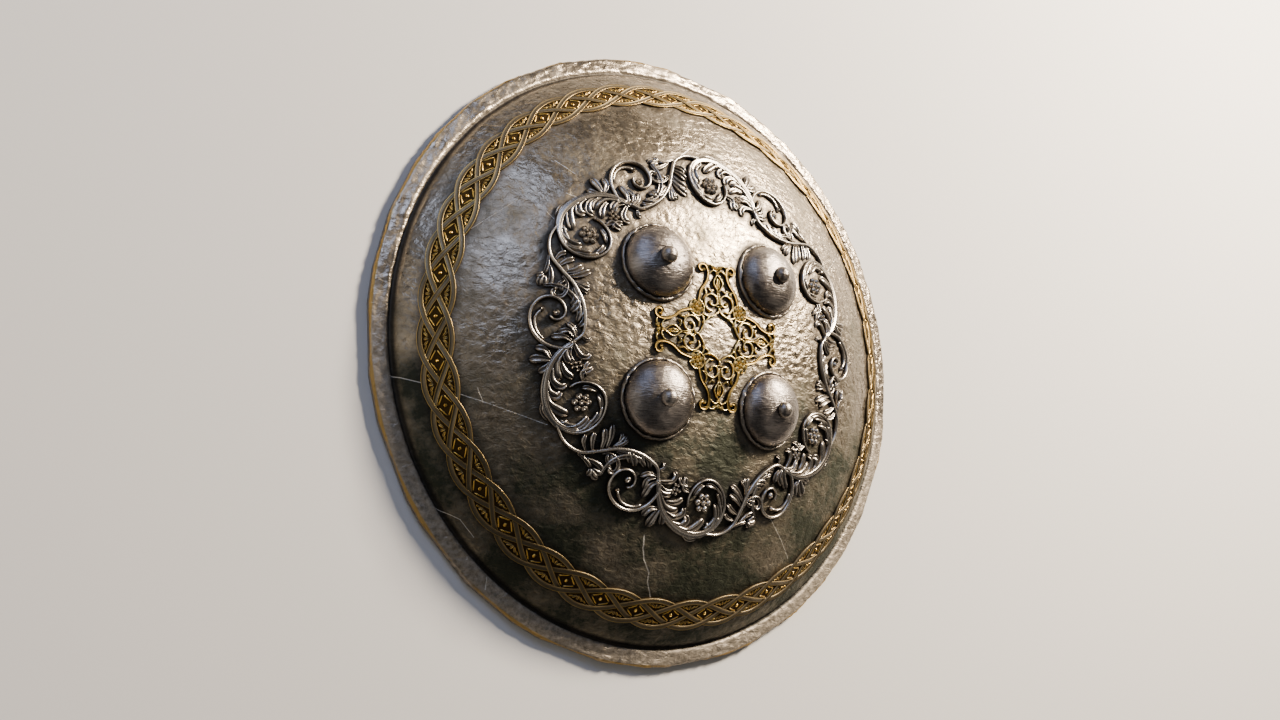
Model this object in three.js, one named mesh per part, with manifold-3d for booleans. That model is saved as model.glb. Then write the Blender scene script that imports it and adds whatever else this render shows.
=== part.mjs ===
// A round steel shield of buckler size, lying face up on its rim.
// Its face carries a gilt plaited border, a dark garland of scrolls and leaves, a gilt openwork cross
// and four domed bosses. The boss rivets hold two leather grip straps inside the bowl.
// Lengths are in millimetres. +Z is up and the origin is the middle of the rim's underside.
import * as THREE from 'three';
import { mergeVertices } from 'three/addons/utils/BufferGeometryUtils.js';
import Module from 'manifold-3d';

const wasm = await Module();
wasm.setup();

// Plate: a hammered dome with a groove and a flat rim band around it
const SHIELD_RADIUS = 225;
const CROWN_HEIGHT = 77.2;
const DOME_FOOT_HEIGHT = 12.1;
const DOME_FULLNESS = 0.316;
const PLATE_WALL = 1.8;
const RIM_WIDTH = 12;
const RIM_EDGE_HEIGHT = 5.4;
const RIM_BEVEL = 1;
const RIM_RISE = 2.2;
const RIM_LIP_WIDTH = 6;
const GROOVE_WIDTH = 4;
const GROOVE_DEPTH = 1.2;

// Clearances between pieces that lie against each other
const SEAT_GAP = 0.25;
const CLEARANCE = 0.3;

// Gilt border: four strands plaited round the dome, with a lozenge between each pair of crossings
const BORDER_INSET = 20.9;
const BORDER_CELLS = 41;
const BORDER_WAVE = 8.65;
const BORDER_STRAND_WIDTH = 2.9;
const BORDER_BASE = 0.5;
const BORDER_HEIGHT = 1.5;
const BORDER_STUD = 1.3;
const BORDER_TURN = 0.1;

// Garland: one scroll motif repeated round the bosses
const GARLAND_REPEATS = 6;
const GARLAND_TURN = 7.5;
const GARLAND_CLEARANCE = 3.7;
const GARLAND_HALF_WIDTH = 19;
const GARLAND_HEIGHT = 3.6;

// Bosses: hollow domed caps on a ring
const BOSS_CIRCLE_RADIUS = 66.2;
const BOSS_COUNT = 4;
const BOSS_TURN = 45;
const BOSS_FLANGE_RADIUS = 28.1;
const BOSS_FLANGE_WIDTH = 2.6;
const BOSS_FLANGE_HEIGHT = 2.4;
const BOSS_GROOVE_DEPTH = 1;
const BOSS_DOME_HEIGHT = 14.6;
const BOSS_WALL = 1.5;

// Openwork cross between the bosses
const CROSS_CLEARANCE = 2.2;
const CROSS_HEIGHT = 2;
const CROSS_WIRE = 1.5;

// Rivets
const RIVET_HEAD_RADIUS = 6;
const RIVET_SHANK_RADIUS = 2.5;
const RIVET_TAIL_RADIUS = 6.5;
const RIVET_TAIL_HEIGHT = 2;

// Grip straps: two leather bands, each from one rivet to the next.
// The seat is the room that a flat strap end needs under the curved bowl.
const STRAP_WIDTH = 24;
const STRAP_THICKNESS = 3;
const STRAP_END = 13;
const STRAP_SEAT = 1.8;
const STRAP_DROP = 34;

// Facets of the round pieces
const PLATE_SEGMENTS = 36;
const DOME_RINGS = 6;
const BOSS_SEGMENTS = 14;
const RIVET_SEGMENTS = 8;

// Sizes that follow from the ones above
const DEGREE = Math.PI / 180;
const domeRadius = SHIELD_RADIUS - RIM_WIDTH - GROOVE_WIDTH;
const borderRadius = domeRadius - BORDER_INSET;
const garlandRadius = BOSS_CIRCLE_RADIUS + BOSS_FLANGE_RADIUS + GARLAND_CLEARANCE + GARLAND_HALF_WIDTH;
const bossDomeRadius = BOSS_FLANGE_RADIUS - BOSS_FLANGE_WIDTH;
const shankHole = RIVET_SHANK_RADIUS + CLEARANCE;

// Height of the dome above the rim's underside at a distance from its middle
function domeHeight(radius) {
  const q = (radius / domeRadius) ** 2;
  return CROWN_HEIGHT - (CROWN_HEIGHT - DOME_FOOT_HEIGHT) * ((1 - DOME_FULLNESS) * q + DOME_FULLNESS * q * q);
}

// How fast the dome falls at a distance from its middle, as a positive number
function domeSlope(radius) {
  const q = radius / domeRadius;
  const fall = 2 * (1 - DOME_FULLNESS) * q + 4 * DOME_FULLNESS * q ** 3;
  return (CROWN_HEIGHT - DOME_FOOT_HEIGHT) * fall / domeRadius;
}

// Outward normal of the dome above a point of the plan
function domeNormal(x, y) {
  const radius = Math.max(Math.hypot(x, y), 1e-9);
  const slope = domeSlope(radius);
  return new THREE.Vector3(slope * x / radius, slope * y / radius, 1).normalize();
}

// Point that stands a height off the dome, above a point of the plan
function onDome(x, y, height) {
  const foot = new THREE.Vector3(x, y, domeHeight(Math.hypot(x, y)));
  return foot.addScaledVector(domeNormal(x, y), height);
}

// Closed solid made from a geometry's positions
function solidOf(geometry) {
  const bare = geometry.clone();
  bare.deleteAttribute('normal');
  bare.deleteAttribute('uv');
  const merged = mergeVertices(bare, 1e-4);
  const mesh = new wasm.Mesh({
    numProp: 3,
    vertProperties: new Float32Array(merged.attributes.position.array),
    triVerts: new Uint32Array(merged.index.array),
  });
  return new wasm.Manifold(mesh);
}

function geometryOf(solid) {
  const mesh = solid.getMesh();
  const geometry = new THREE.BufferGeometry();
  geometry.setAttribute('position', new THREE.Float32BufferAttribute(mesh.vertProperties, 3));
  geometry.setIndex(Array.from(mesh.triVerts));
  geometry.computeVertexNormals();
  return geometry;
}

function indexedGeometry(points, triangles) {
  const geometry = new THREE.BufferGeometry();
  geometry.setFromPoints(points);
  geometry.setIndex(triangles.flat());
  return geometry;
}

// Lays a solid that was made on the flat over the dome, its underside a small gap above the plate
function laidOnDome(solid) {
  const geometry = geometryOf(solid);
  const position = geometry.attributes.position;
  for (let i = 0; i < position.count; i += 1) {
    const point = onDome(position.getX(i), position.getY(i), SEAT_GAP + position.getZ(i));
    position.setXYZ(i, point.x, point.y, point.z);
  }
  geometry.computeVertexNormals();
  return geometry;
}

function union(solids) {
  return solids.reduce((whole, solid) => whole.add(solid));
}

// Body turned round the Z axis from a profile of [radius, height] pairs
function turned(profile, segments) {
  const points = profile.map(([radius, height]) => new THREE.Vector2(radius, height));
  return new THREE.LatheGeometry(points, segments).rotateX(Math.PI / 2);
}

function cylinder(radius, from, to, segments) {
  const drum = new THREE.CylinderGeometry(radius, radius, to - from, segments).rotateX(Math.PI / 2);
  return drum.translate(0, 0, (from + to) / 2);
}

// Matrix that stands a piece on the dome at an angle round the boss circle
function bossPlace(index) {
  const angle = (BOSS_TURN + index * 360 / BOSS_COUNT) * DEGREE;
  const x = BOSS_CIRCLE_RADIUS * Math.cos(angle);
  const y = BOSS_CIRCLE_RADIUS * Math.sin(angle);
  const up = domeNormal(x, y);
  const side = new THREE.Vector3(-Math.sin(angle), Math.cos(angle), 0);
  const out = new THREE.Vector3().crossVectors(side, up);
  return new THREE.Matrix4().makeBasis(out, side, up).setPosition(onDome(x, y, 0));
}

// Least drop of the dome below the plane that touches it under a boss, at the flange's edge
function bossSeat() {
  const place = bossPlace(0);
  const back = place.clone().invert();
  const axis = new THREE.Vector3(0, 0, 1);
  let seat = -Infinity;
  for (let step = 0; step < BOSS_SEGMENTS; step += 1) {
    const angle = step * 2 * Math.PI / BOSS_SEGMENTS;
    const edge = new THREE.Vector3(BOSS_FLANGE_RADIUS, 0, 0).applyAxisAngle(axis, angle);
    const plan = edge.applyMatrix4(place);
    seat = Math.max(seat, onDome(plan.x, plan.y, 0).applyMatrix4(back).z);
  }
  return seat + SEAT_GAP;
}

const bossFoot = bossSeat();
const bossCollar = bossFoot + BOSS_FLANGE_HEIGHT - BOSS_GROOVE_DEPTH;
const strapTop = -PLATE_WALL - STRAP_SEAT;
const tailTop = strapTop - STRAP_THICKNESS - CLEARANCE;

// Height of a boss's dome above the plate at a distance from the boss's axis: a quarter ellipse
function bossHeight(radius, wall = 0) {
  const reach = radius / (bossDomeRadius - wall);
  return bossCollar + (BOSS_DOME_HEIGHT - wall) * Math.sqrt(Math.max(0, 1 - reach * reach));
}

// Plate

// Points of the dome from near its middle to its foot, as far below its face as the depth
function domeLine(depth) {
  const line = [];
  for (let ring = 1; ring <= DOME_RINGS; ring += 1) {
    const radius = domeRadius * (ring / DOME_RINGS) ** 0.85;
    const slope = domeSlope(radius);
    const shift = depth / Math.hypot(1, slope);
    line.push([radius - shift * slope, domeHeight(radius) - shift]);
  }
  return line;
}

function plateProfile() {
  const rimInner = SHIELD_RADIUS - RIM_WIDTH;
  const rimTop = RIM_EDGE_HEIGHT + RIM_BEVEL + RIM_RISE;
  const grooveRadius = rimInner - GROOVE_WIDTH * 0.35;
  return [
    [0, CROWN_HEIGHT],
    ...domeLine(0),
    [grooveRadius, rimTop - GROOVE_DEPTH],
    [rimInner, rimTop],
    [SHIELD_RADIUS - RIM_BEVEL, RIM_EDGE_HEIGHT + RIM_BEVEL],
    [SHIELD_RADIUS, RIM_EDGE_HEIGHT],
    [SHIELD_RADIUS, 0],
    [SHIELD_RADIUS - RIM_LIP_WIDTH, 0],
    [SHIELD_RADIUS - RIM_LIP_WIDTH - RIM_BEVEL, RIM_EDGE_HEIGHT + RIM_BEVEL - PLATE_WALL],
    [grooveRadius - PLATE_WALL / 3, rimTop - GROOVE_DEPTH - PLATE_WALL],
    ...domeLine(PLATE_WALL).reverse(),
    [0, CROWN_HEIGHT - PLATE_WALL],
  ];
}

function plateGeometry() {
  let plate = solidOf(turned(plateProfile().reverse(), PLATE_SEGMENTS));
  for (let index = 0; index < BOSS_COUNT; index += 1) {
    const drill = cylinder(shankHole, -PLATE_WALL * 3, PLATE_WALL * 3, RIVET_SEGMENTS);
    plate = plate.subtract(solidOf(drill.applyMatrix4(bossPlace(index))));
  }
  return geometryOf(plate);
}

// Gilt border

// Corners of one cell of the plait, which is the stretch from one mid crossing to the next.
// A strand's middle swings as a cosine over four cells, and each corner is where two strand edges meet.
function borderCorners() {
  const cell = 2 * Math.PI / BORDER_CELLS;
  const half = BORDER_STRAND_WIDTH / 2;
  const steepness = BORDER_WAVE * Math.PI / (2 * cell * borderRadius);
  const midSlope = Math.atan(steepness);
  const sideSlope = Math.atan(steepness * Math.SQRT1_2);
  const sideOffset = BORDER_WAVE * Math.SQRT1_2;
  const midReach = half / Math.sin(midSlope) / borderRadius;
  const sideReach = half / Math.sin(sideSlope) / borderRadius;
  const midRise = half / Math.cos(midSlope);
  const sideRise = half / Math.cos(sideSlope);
  const corners = {
    midLeft: [-midReach, 0],
    midRight: [midReach, 0],
    midOut: [0, midRise],
    midIn: [0, -midRise],
  };
  for (const [name, sign] of [['outer', 1], ['inner', -1]]) {
    corners[`${name}Left`] = [cell / 2 - sideReach, sign * sideOffset];
    corners[`${name}Right`] = [cell / 2 + sideReach, sign * sideOffset];
    corners[`${name}Notch`] = [cell / 2, sign * (sideOffset + sideRise)];
    corners[`${name}Crook`] = [cell / 2, sign * (sideOffset - sideRise)];
    corners[`${name}Under`] = [0, sign * (BORDER_WAVE - half)];
    corners[`${name}Peak`] = [0, sign * (BORDER_WAVE + half)];
  }
  return corners;
}

function borderGeometry() {
  const corners = borderCorners();
  const cell = 2 * Math.PI / BORDER_CELLS;
  const points = [];
  const triangles = [];
  const known = new Map();

  // Index of a corner of a cell at a height, so that neighbouring faces share it
  function vertex(name, index, height, place = corners[name]) {
    const wrapped = (index + BORDER_CELLS) % BORDER_CELLS;
    const key = `${name} ${wrapped} ${height}`;
    if (!known.has(key)) {
      const angle = BORDER_TURN * DEGREE + wrapped * cell + place[0];
      const radius = borderRadius + place[1];
      known.set(key, points.length);
      points.push(onDome(radius * Math.cos(angle), radius * Math.sin(angle), SEAT_GAP + height));
    }
    return known.get(key);
  }

  // Face over a loop of corners
  function face(loop, index, height) {
    const loopVertices = loop.map(([name, shift = 0]) => vertex(name, index + shift, height));
    for (let i = 1; i < loopVertices.length - 1; i += 1) {
      triangles.push([loopVertices[0], loopVertices[i], loopVertices[i + 1]]);
    }
  }

  // Wall that falls from the top of a line of corners to a lower height
  function wall(line, index, top, bottom) {
    for (let i = 0; i < line.length - 1; i += 1) {
      const [a, b] = [line[i], line[i + 1]];
      const high = [vertex(a[0], index + (a[1] ?? 0), top), vertex(b[0], index + (b[1] ?? 0), top)];
      const low = [vertex(a[0], index + (a[1] ?? 0), bottom), vertex(b[0], index + (b[1] ?? 0), bottom)];
      triangles.push([high[0], low[0], low[1]], [high[0], low[1], high[1]]);
    }
  }

  // Faces that run from a loop of corners to one point
  function fan(loop, index, rim, tip, tipName, tipPlace) {
    const middle = vertex(tipName, index, tip, tipPlace);
    for (let i = 0; i < loop.length; i += 1) {
      const [a, b] = [loop[i], loop[(i + 1) % loop.length]];
      const foot = [vertex(a[0], index + (a[1] ?? 0), rim), vertex(b[0], index + (b[1] ?? 0), rim)];
      triangles.push([...foot, middle]);
    }
  }

  const side = (name, flip) => (loop) => {
    const named = loop.map(([corner, shift]) => [corner.replace('side', name), shift]);
    return flip ? named.reverse() : named;
  };

  for (let index = 0; index < BORDER_CELLS; index += 1) {
    // Loops run clockwise on a drawing with angle to the right and radius upwards, which faces them outwards
    for (const [name, flip] of [['outer', false], ['inner', true]]) {
      const turn = side(name, flip);
      const crossing = name === 'outer' ? 'midOut' : 'midIn';
      face(turn([['sideNotch'], ['sideRight'], ['sideCrook'], ['sideLeft']]), index, BORDER_HEIGHT);
      face(turn([['midRight'], [crossing], ['sideLeft'], ['sideCrook']]), index, BORDER_HEIGHT);
      face(turn([[crossing], ['midLeft'], ['sideCrook', -1], ['sideRight', -1]]), index, BORDER_HEIGHT);
      face(turn([['sideUnder'], ['sideRight', -1], ['sideNotch', -1], ['sidePeak']]), index, BORDER_HEIGHT);
      face(turn([['sideUnder'], ['sidePeak'], ['sideNotch'], ['sideLeft']]), index, BORDER_HEIGHT);
      const pit = turn([[crossing], ['sideRight', -1], ['sideUnder'], ['sideLeft']]);
      const depth = name === 'outer' ? 0.55 : -0.55;
      fan(pit, index, BORDER_HEIGHT, BORDER_BASE, `${name}Pit`, [0, depth * BORDER_WAVE]);
      const edge = turn([['sideNotch', -1], ['sidePeak'], ['sideNotch']]);
      wall(edge, index, BORDER_HEIGHT, 0);
    }
    face([['midLeft'], ['midOut'], ['midRight'], ['midIn']], index, BORDER_HEIGHT);
    const lozenge = [['midRight'], ['outerCrook'], ['midLeft', 1], ['innerCrook']];
    wall([...lozenge, lozenge[0]].reverse(), index, BORDER_HEIGHT, BORDER_BASE);
    fan(lozenge, index, BORDER_BASE, BORDER_STUD, 'stud', [cell / 2, 0]);
    const under = [['innerNotch', -1], ['innerPeak'], ['innerNotch'],
      ['outerNotch'], ['outerPeak'], ['outerNotch', -1]];
    const rows = under.map(([name, shift = 0]) => vertex(name, index + shift, 0));
    for (let i = 0; i < 2; i += 1) {
      triangles.push([rows[i], rows[4 - i], rows[5 - i]], [rows[i], rows[i + 1], rows[4 - i]]);
    }
  }
  return indexedGeometry(points, triangles);
}

// Carved strokes, for the garland and the cross. They are made and joined on the flat.

// Smooth line through a few points of a drawing
function through(points, steps) {
  const curve = new THREE.SplineCurve(points.map(([x, y]) => new THREE.Vector2(x, y)));
  return curve.getPoints(steps).map((point) => [point.x, point.y]);
}

// Spiral round a centre whose radius shrinks by an equal share with each degree
function spiral(centre, from, to, startRadius, endRadius, steps) {
  const line = [];
  for (let step = 0; step <= steps; step += 1) {
    const share = step / steps;
    const angle = (from + (to - from) * share) * DEGREE;
    const radius = startRadius * (endRadius / startRadius) ** share;
    line.push([centre[0] + radius * Math.cos(angle), centre[1] + radius * Math.sin(angle)]);
  }
  return line;
}

// Solid of a stroke along a line: a ridge with two sloping flanks, which runs out to a point.
// The width goes from the first to the second and the third of its three values.
// A leaf reach pushes every other point of an edge out into a lobe, of the left edge when it is positive.
function stroke(line, widths, height, leafReach = 0) {
  const points = [];
  const triangles = [];
  const last = line.length - 1;
  for (let i = 0; i < last; i += 1) {
    const before = line[Math.max(i - 1, 0)];
    const after = line[i + 1];
    const length = Math.hypot(after[0] - before[0], after[1] - before[1]);
    const across = [-(after[1] - before[1]) / length, (after[0] - before[0]) / length];
    const share = i / last;
    const width = share < 0.5
      ? THREE.MathUtils.lerp(widths[0], widths[1], share * 2)
      : THREE.MathUtils.lerp(widths[1], widths[2], share * 2 - 1);
    const [x, y] = line[i];
    const lobe = i % 2 ? leafReach : 0;
    const left = width / 2 + Math.max(lobe, 0);
    const right = width / 2 + Math.max(-lobe, 0);
    points.push(new THREE.Vector3(x + across[0] * left, y + across[1] * left, 0));
    points.push(new THREE.Vector3(x, y, height * (1 - 0.35 * share)));
    points.push(new THREE.Vector3(x - across[0] * right, y - across[1] * right, 0));
    if (i > 0) {
      const here = i * 3;
      for (const side of [0, 1, 2]) {
        const next = (side + 1) % 3;
        const back = here - 3 + side;
        triangles.push([back, here + next, here + side], [back, here - 3 + next, here + next]);
      }
    }
  }
  const tip = points.length;
  points.push(new THREE.Vector3(line[last][0], line[last][1], 0));
  triangles.push([0, 2, 1]);
  triangles.push([tip - 3, tip - 2, tip], [tip - 2, tip - 1, tip], [tip - 1, tip - 3, tip]);
  return solidOf(indexedGeometry(points, triangles));
}

// Solid of a flower or bead: a star of petals whose middle is the highest point
function flower(centre, radius, petals, waist, height) {
  const points = [];
  const triangles = [];
  const count = petals * 2;
  for (let i = 0; i < count; i += 1) {
    const angle = i * Math.PI / petals;
    const reach = i % 2 ? radius * waist : radius;
    const [x, y] = [reach * Math.cos(angle), reach * Math.sin(angle)];
    points.push(new THREE.Vector3(centre[0] + x, centre[1] + y, 0));
  }
  points.push(new THREE.Vector3(centre[0], centre[1], height));
  for (let i = 0; i < count; i += 1) {
    triangles.push([i, (i + 1) % count, count]);
    if (i > 0 && i < count - 1) {
      triangles.push([0, i + 1, i]);
    }
  }
  return solidOf(indexedGeometry(points, triangles));
}

// Garland. The motif is drawn flat, x along the ring from one knot to the next and y outwards.
// The drawing is then scaled to the ring and bent round the bosses.
const KNOT = [0, -8];
const NEXT_KNOT = [122.5, -8];
const FLOWER_CENTRE = [41.5, -3.8];
const SCROLL_CENTRE = [103, 3];

function garlandStrokes() {
  const volute = [
    ...through([KNOT, [12.5, 7.8], [32, 17]], 3),
    ...spiral(FLOWER_CENTRE, 75, -190, 21.2, 12.6, 7),
    [FLOWER_CENTRE[0] - 4, FLOWER_CENTRE[1]],
  ];
  const vine = through([[46, 16], [58, 16.6], [67, 12.5], [74.5, 2.5], [81, -6.5], [91, -13.5], [106, -16.7],
    [117.5, -14.5], [NEXT_KNOT[0] + 1.5, NEXT_KNOT[1] + 3]], 7);
  const scroll = [NEXT_KNOT, ...spiral(SCROLL_CENTRE, -20, 400, 24.2, 3.6, 8)];
  const tendril = through([[76, 0], [84, -3.4], [91, -0.6], [91, 5]], 3);
  const stems = [
    { line: volute, widths: [4, 5.6, 2.6], rise: 1, leaf: -3.6 },
    { line: vine, widths: [2, 3.2, 3.6], rise: 0.9, leaf: 1.8 },
    { line: scroll, widths: [3.4, 3, 2], rise: 0.9 },
    { line: tendril, widths: [2.4, 2.6, 1.8], rise: 0.7, leaf: 1.6 },
  ];
  // Loose leaves, each from its root over its back to its tip
  const lobes = [
    [[67, 12], [76, 13.5], [85.5, 12]],
    [[10, 6.5], [8.5, 13], [7, 20]],
    [[0, -8.5], [9.5, -10], [10, -18.2]],
    [[29, -9], [23.5, -12], [21, -18.4]],
    [[121, -8.5], [116, -4], [116, 4]],
    [[76, 0], [71.5, -8], [65, -13]],
  ];
  const leaf = { widths: [3.6, 4.4, 2], rise: 0.7, leaf: 1.2 };
  const leaves = lobes.map((points) => ({ line: through(points, 2), ...leaf }));
  return [...stems, ...leaves];
}

function garlandGeometry() {
  const repeat = 2 * Math.PI / GARLAND_REPEATS;
  const drawnLength = NEXT_KNOT[0] - KNOT[0];
  const scale = repeat * garlandRadius / drawnLength;
  const bend = ([x, y]) => {
    const angle = GARLAND_TURN * DEGREE + x / drawnLength * repeat;
    const radius = garlandRadius + y * scale;
    return [radius * Math.cos(angle), radius * Math.sin(angle)];
  };
  const parts = garlandStrokes().map(({ line, widths, rise, leaf = 0 }) =>
    stroke(line.map(bend), widths.map((width) => width * scale), GARLAND_HEIGHT * rise, leaf * scale));
  parts.push(flower(bend(FLOWER_CENTRE), 6.4 * scale, 6, 0.7, GARLAND_HEIGHT));
  const motif = union(parts);
  const copies = [];
  for (let index = 0; index < GARLAND_REPEATS; index += 1) {
    copies.push(motif.rotate([0, 0, index * 360 / GARLAND_REPEATS]));
  }
  return laidOnDome(union(copies));
}

// Cross. Half of one arm is drawn, from the middle outwards along y, and scaled to the room between the bosses.
const ARM_EDGE = [16.5, 20];
const ROSETTE = { centre: [18.3, 18.3], radius: 6 };

function crossStrokes() {
  const swan = [
    ...through([[17, 22], [14.5, 31], [9.5, 38], [7.8, 45]], 3),
    ...spiral([12.3, 47.3], 150, -90, 4.3, 3, 2),
  ];
  return [
    { line: swan, height: 0.9 },
    { line: [[0, 31], [4, 39], [0.4, 48.5]], height: 0.8 },
    { line: spiral([5.2, 24], -75, 265, 8.4, 3, 4), height: 1 },
    { line: [[-0.6, 17.6], [5, 14.4], [16.5, 15.8]], height: 0.8 },
  ];
}

function crossGeometry() {
  const bossOffset = BOSS_CIRCLE_RADIUS * Math.SQRT1_2;
  const scale = (bossOffset - BOSS_FLANGE_RADIUS - CROSS_CLEARANCE) / ARM_EDGE[0];
  const parts = [];
  for (let arm = 0; arm < 4; arm += 1) {
    const turn = arm * Math.PI / 2;
    const place = ([x, y]) => [
      scale * (x * Math.cos(turn) - y * Math.sin(turn)),
      scale * (x * Math.sin(turn) + y * Math.cos(turn)),
    ];
    for (const side of [1, -1]) {
      for (const { line, height } of crossStrokes()) {
        const bent = line.map(([x, y]) => place([side * x, y]));
        parts.push(stroke(bent, [CROSS_WIRE, CROSS_WIRE, CROSS_WIRE], CROSS_HEIGHT * height));
      }
    }
    const collar = [[0, 14.6], [0, 21.5], [0, 33]].map(place);
    parts.push(stroke(collar, [CROSS_WIRE, CROSS_WIRE * 3.3, CROSS_WIRE], CROSS_HEIGHT));
    const tip = [[-8.6, 47.5], [-2.6, 48.5], [2.6, 48.5], [8.6, 47.5]].map(place);
    parts.push(stroke(tip, [CROSS_WIRE, CROSS_WIRE * 1.8, CROSS_WIRE], CROSS_HEIGHT * 0.8));
    parts.push(flower(place(ROSETTE.centre), ROSETTE.radius * scale, 6, 0.75, CROSS_HEIGHT));
  }
  return laidOnDome(union(parts));
}

// Bosses and rivets, each drawn on its own axis with the plate's face at height 0

function bossProfile() {
  const innerRadius = bossDomeRadius - BOSS_WALL;
  const outside = [0.55, 0.85, 0.98].map((share) => bossDomeRadius * share);
  return [
    [shankHole, bossHeight(shankHole)],
    ...outside.map((radius) => [radius, bossHeight(radius)]),
    [bossDomeRadius, bossCollar],
    [bossDomeRadius + BOSS_FLANGE_WIDTH * 0.5, bossFoot + BOSS_FLANGE_HEIGHT],
    [BOSS_FLANGE_RADIUS, bossFoot],
    [innerRadius, bossFoot],
    [innerRadius * 0.75, bossHeight(innerRadius * 0.75, BOSS_WALL)],
    [shankHole, bossHeight(shankHole, BOSS_WALL)],
    [shankHole, bossHeight(shankHole)],
  ];
}

function rivetProfile() {
  const seat = (radius) => bossHeight(radius) + SEAT_GAP;
  const tailFoot = tailTop - RIVET_TAIL_HEIGHT;
  const head = [];
  for (const angle of [0, 45]) {
    head.push([RIVET_HEAD_RADIUS * Math.cos(angle * DEGREE),
      seat(RIVET_HEAD_RADIUS) + 0.8 + RIVET_HEAD_RADIUS * 0.85 * Math.sin(angle * DEGREE)]);
  }
  return [
    [0, tailFoot],
    [RIVET_TAIL_RADIUS * 0.6, tailFoot],
    [RIVET_TAIL_RADIUS, tailTop],
    [RIVET_SHANK_RADIUS, tailTop],
    [RIVET_SHANK_RADIUS, seat(RIVET_SHANK_RADIUS)],
    [RIVET_HEAD_RADIUS, seat(RIVET_HEAD_RADIUS)],
    ...head,
    [0, seat(RIVET_HEAD_RADIUS) + 0.8 + RIVET_HEAD_RADIUS * 0.85],
  ];
}

// Grip strap between the two rivets on one side. It is drawn from the side, with the line of the plate's
// inner face at height 0 over each rivet, and hangs clear of the plate between them.
function strapGeometry(side) {
  const upper = side > 0 ? bossPlace(0) : bossPlace(1);
  const lower = side > 0 ? bossPlace(3) : bossPlace(2);
  const centre = new THREE.Vector3().setFromMatrixPosition(upper);
  const normal = new THREE.Vector3().setFromMatrixColumn(upper, 2);
  const lean = Math.atan2(normal.x, normal.z);
  const tilt = Math.asin(normal.y);
  const middle = strapTop - STRAP_THICKNESS / 2;
  const along = (distance, depth) => [
    centre.y + middle * Math.sin(tilt) + distance * Math.cos(tilt) - depth * Math.sin(tilt),
    middle * Math.cos(tilt) - distance * Math.sin(tilt) - depth * Math.cos(tilt),
  ];
  const hang = [[0.64, 0.2], [0.48, 0.58], [0.26, 0.88], [0, 1]];
  const half = [
    along(STRAP_END, 0),
    along(-STRAP_END * 0.85, 0.3),
    ...hang.map(([share, depth]) => [centre.y * share, middle - STRAP_DROP * depth]),
  ];
  const mirrored = half.slice(0, -1).reverse().map(([y, z]) => [-y, z]);
  const line = [...half, ...mirrored];
  const offset = (sign) => line.map(([y, z], i) => {
    const before = line[Math.max(i - 1, 0)];
    const after = line[Math.min(i + 1, line.length - 1)];
    const length = Math.hypot(after[0] - before[0], after[1] - before[1]);
    const reach = sign * STRAP_THICKNESS / 2 / length;
    return new THREE.Vector2(y - (after[1] - before[1]) * reach, z + (after[0] - before[0]) * reach);
  });
  const outline = new THREE.Shape([...offset(1), ...offset(-1).reverse()]);
  const band = new THREE.ExtrudeGeometry(outline, { depth: STRAP_WIDTH, bevelEnabled: false, steps: 1 });
  const frame = new THREE.Matrix4().makeBasis(
    new THREE.Vector3(0, 1, 0), new THREE.Vector3(0, 0, 1), new THREE.Vector3(1, 0, 0));
  band.translate(0, 0, -STRAP_WIDTH / 2).applyMatrix4(frame);
  band.rotateY(lean).translate(centre.x, 0, centre.z);
  let strap = solidOf(band);
  for (const place of [upper, lower]) {
    const [foot, top] = [strapTop - STRAP_THICKNESS * 2, strapTop + STRAP_THICKNESS];
    const drill = cylinder(shankHole, foot, top, RIVET_SEGMENTS);
    strap = strap.subtract(solidOf(drill.applyMatrix4(place)));
  }
  return geometryOf(strap);
}

// Finishes
const hammeredSteel = { color: 0x6e6861, roughness: 0.42, metalness: 1 };
const darkSteel = { color: 0x4f4b48, roughness: 0.35, metalness: 1 };
const brushedSteel = { color: 0x57534f, roughness: 0.3, metalness: 1 };
const giltBrass = { color: 0xb08a45, roughness: 0.35, metalness: 1 };
const brownLeather = { color: 0x4a3222, roughness: 0.75, metalness: 0 };

const shield = new THREE.Group();

function addPiece(name, geometry, finish, place = new THREE.Matrix4()) {
  const piece = new THREE.Mesh(geometry, new THREE.MeshStandardMaterial(finish));
  piece.name = name;
  piece.applyMatrix4(place);
  shield.add(piece);
}

addPiece('plate', plateGeometry(), hammeredSteel);
addPiece('gilt_border', borderGeometry(), giltBrass);
addPiece('scroll_garland', garlandGeometry(), darkSteel);
addPiece('openwork_cross', crossGeometry(), giltBrass);

for (let index = 0; index < BOSS_COUNT; index += 1) {
  const place = bossPlace(index);
  const number = index + 1;
  addPiece(`boss_${number}`, turned(bossProfile().reverse(), BOSS_SEGMENTS), brushedSteel, place);
  addPiece(`rivet_${number}`, turned(rivetProfile(), RIVET_SEGMENTS), brushedSteel, place);
}

addPiece('grip_strap_right', strapGeometry(1), brownLeather);
addPiece('grip_strap_left', strapGeometry(-1), brownLeather);

export default shield;
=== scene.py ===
"""Looks of a round steel shield that lies face up on its rim.

The shape code works in millimetres, as a smith would state them, and meshes are made in metres.
+Z is up, the origin is the middle of the rim's underside, and angles run anticlockwise from +X.
Carved work is first drawn flat, with a height above the plate, and is then laid over the dome.
"""

import logging
import math
from collections.abc import Sequence
from dataclasses import dataclass, field
from enum import Enum

import bpy
import numpy as np
from mathutils import Matrix, Vector

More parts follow.
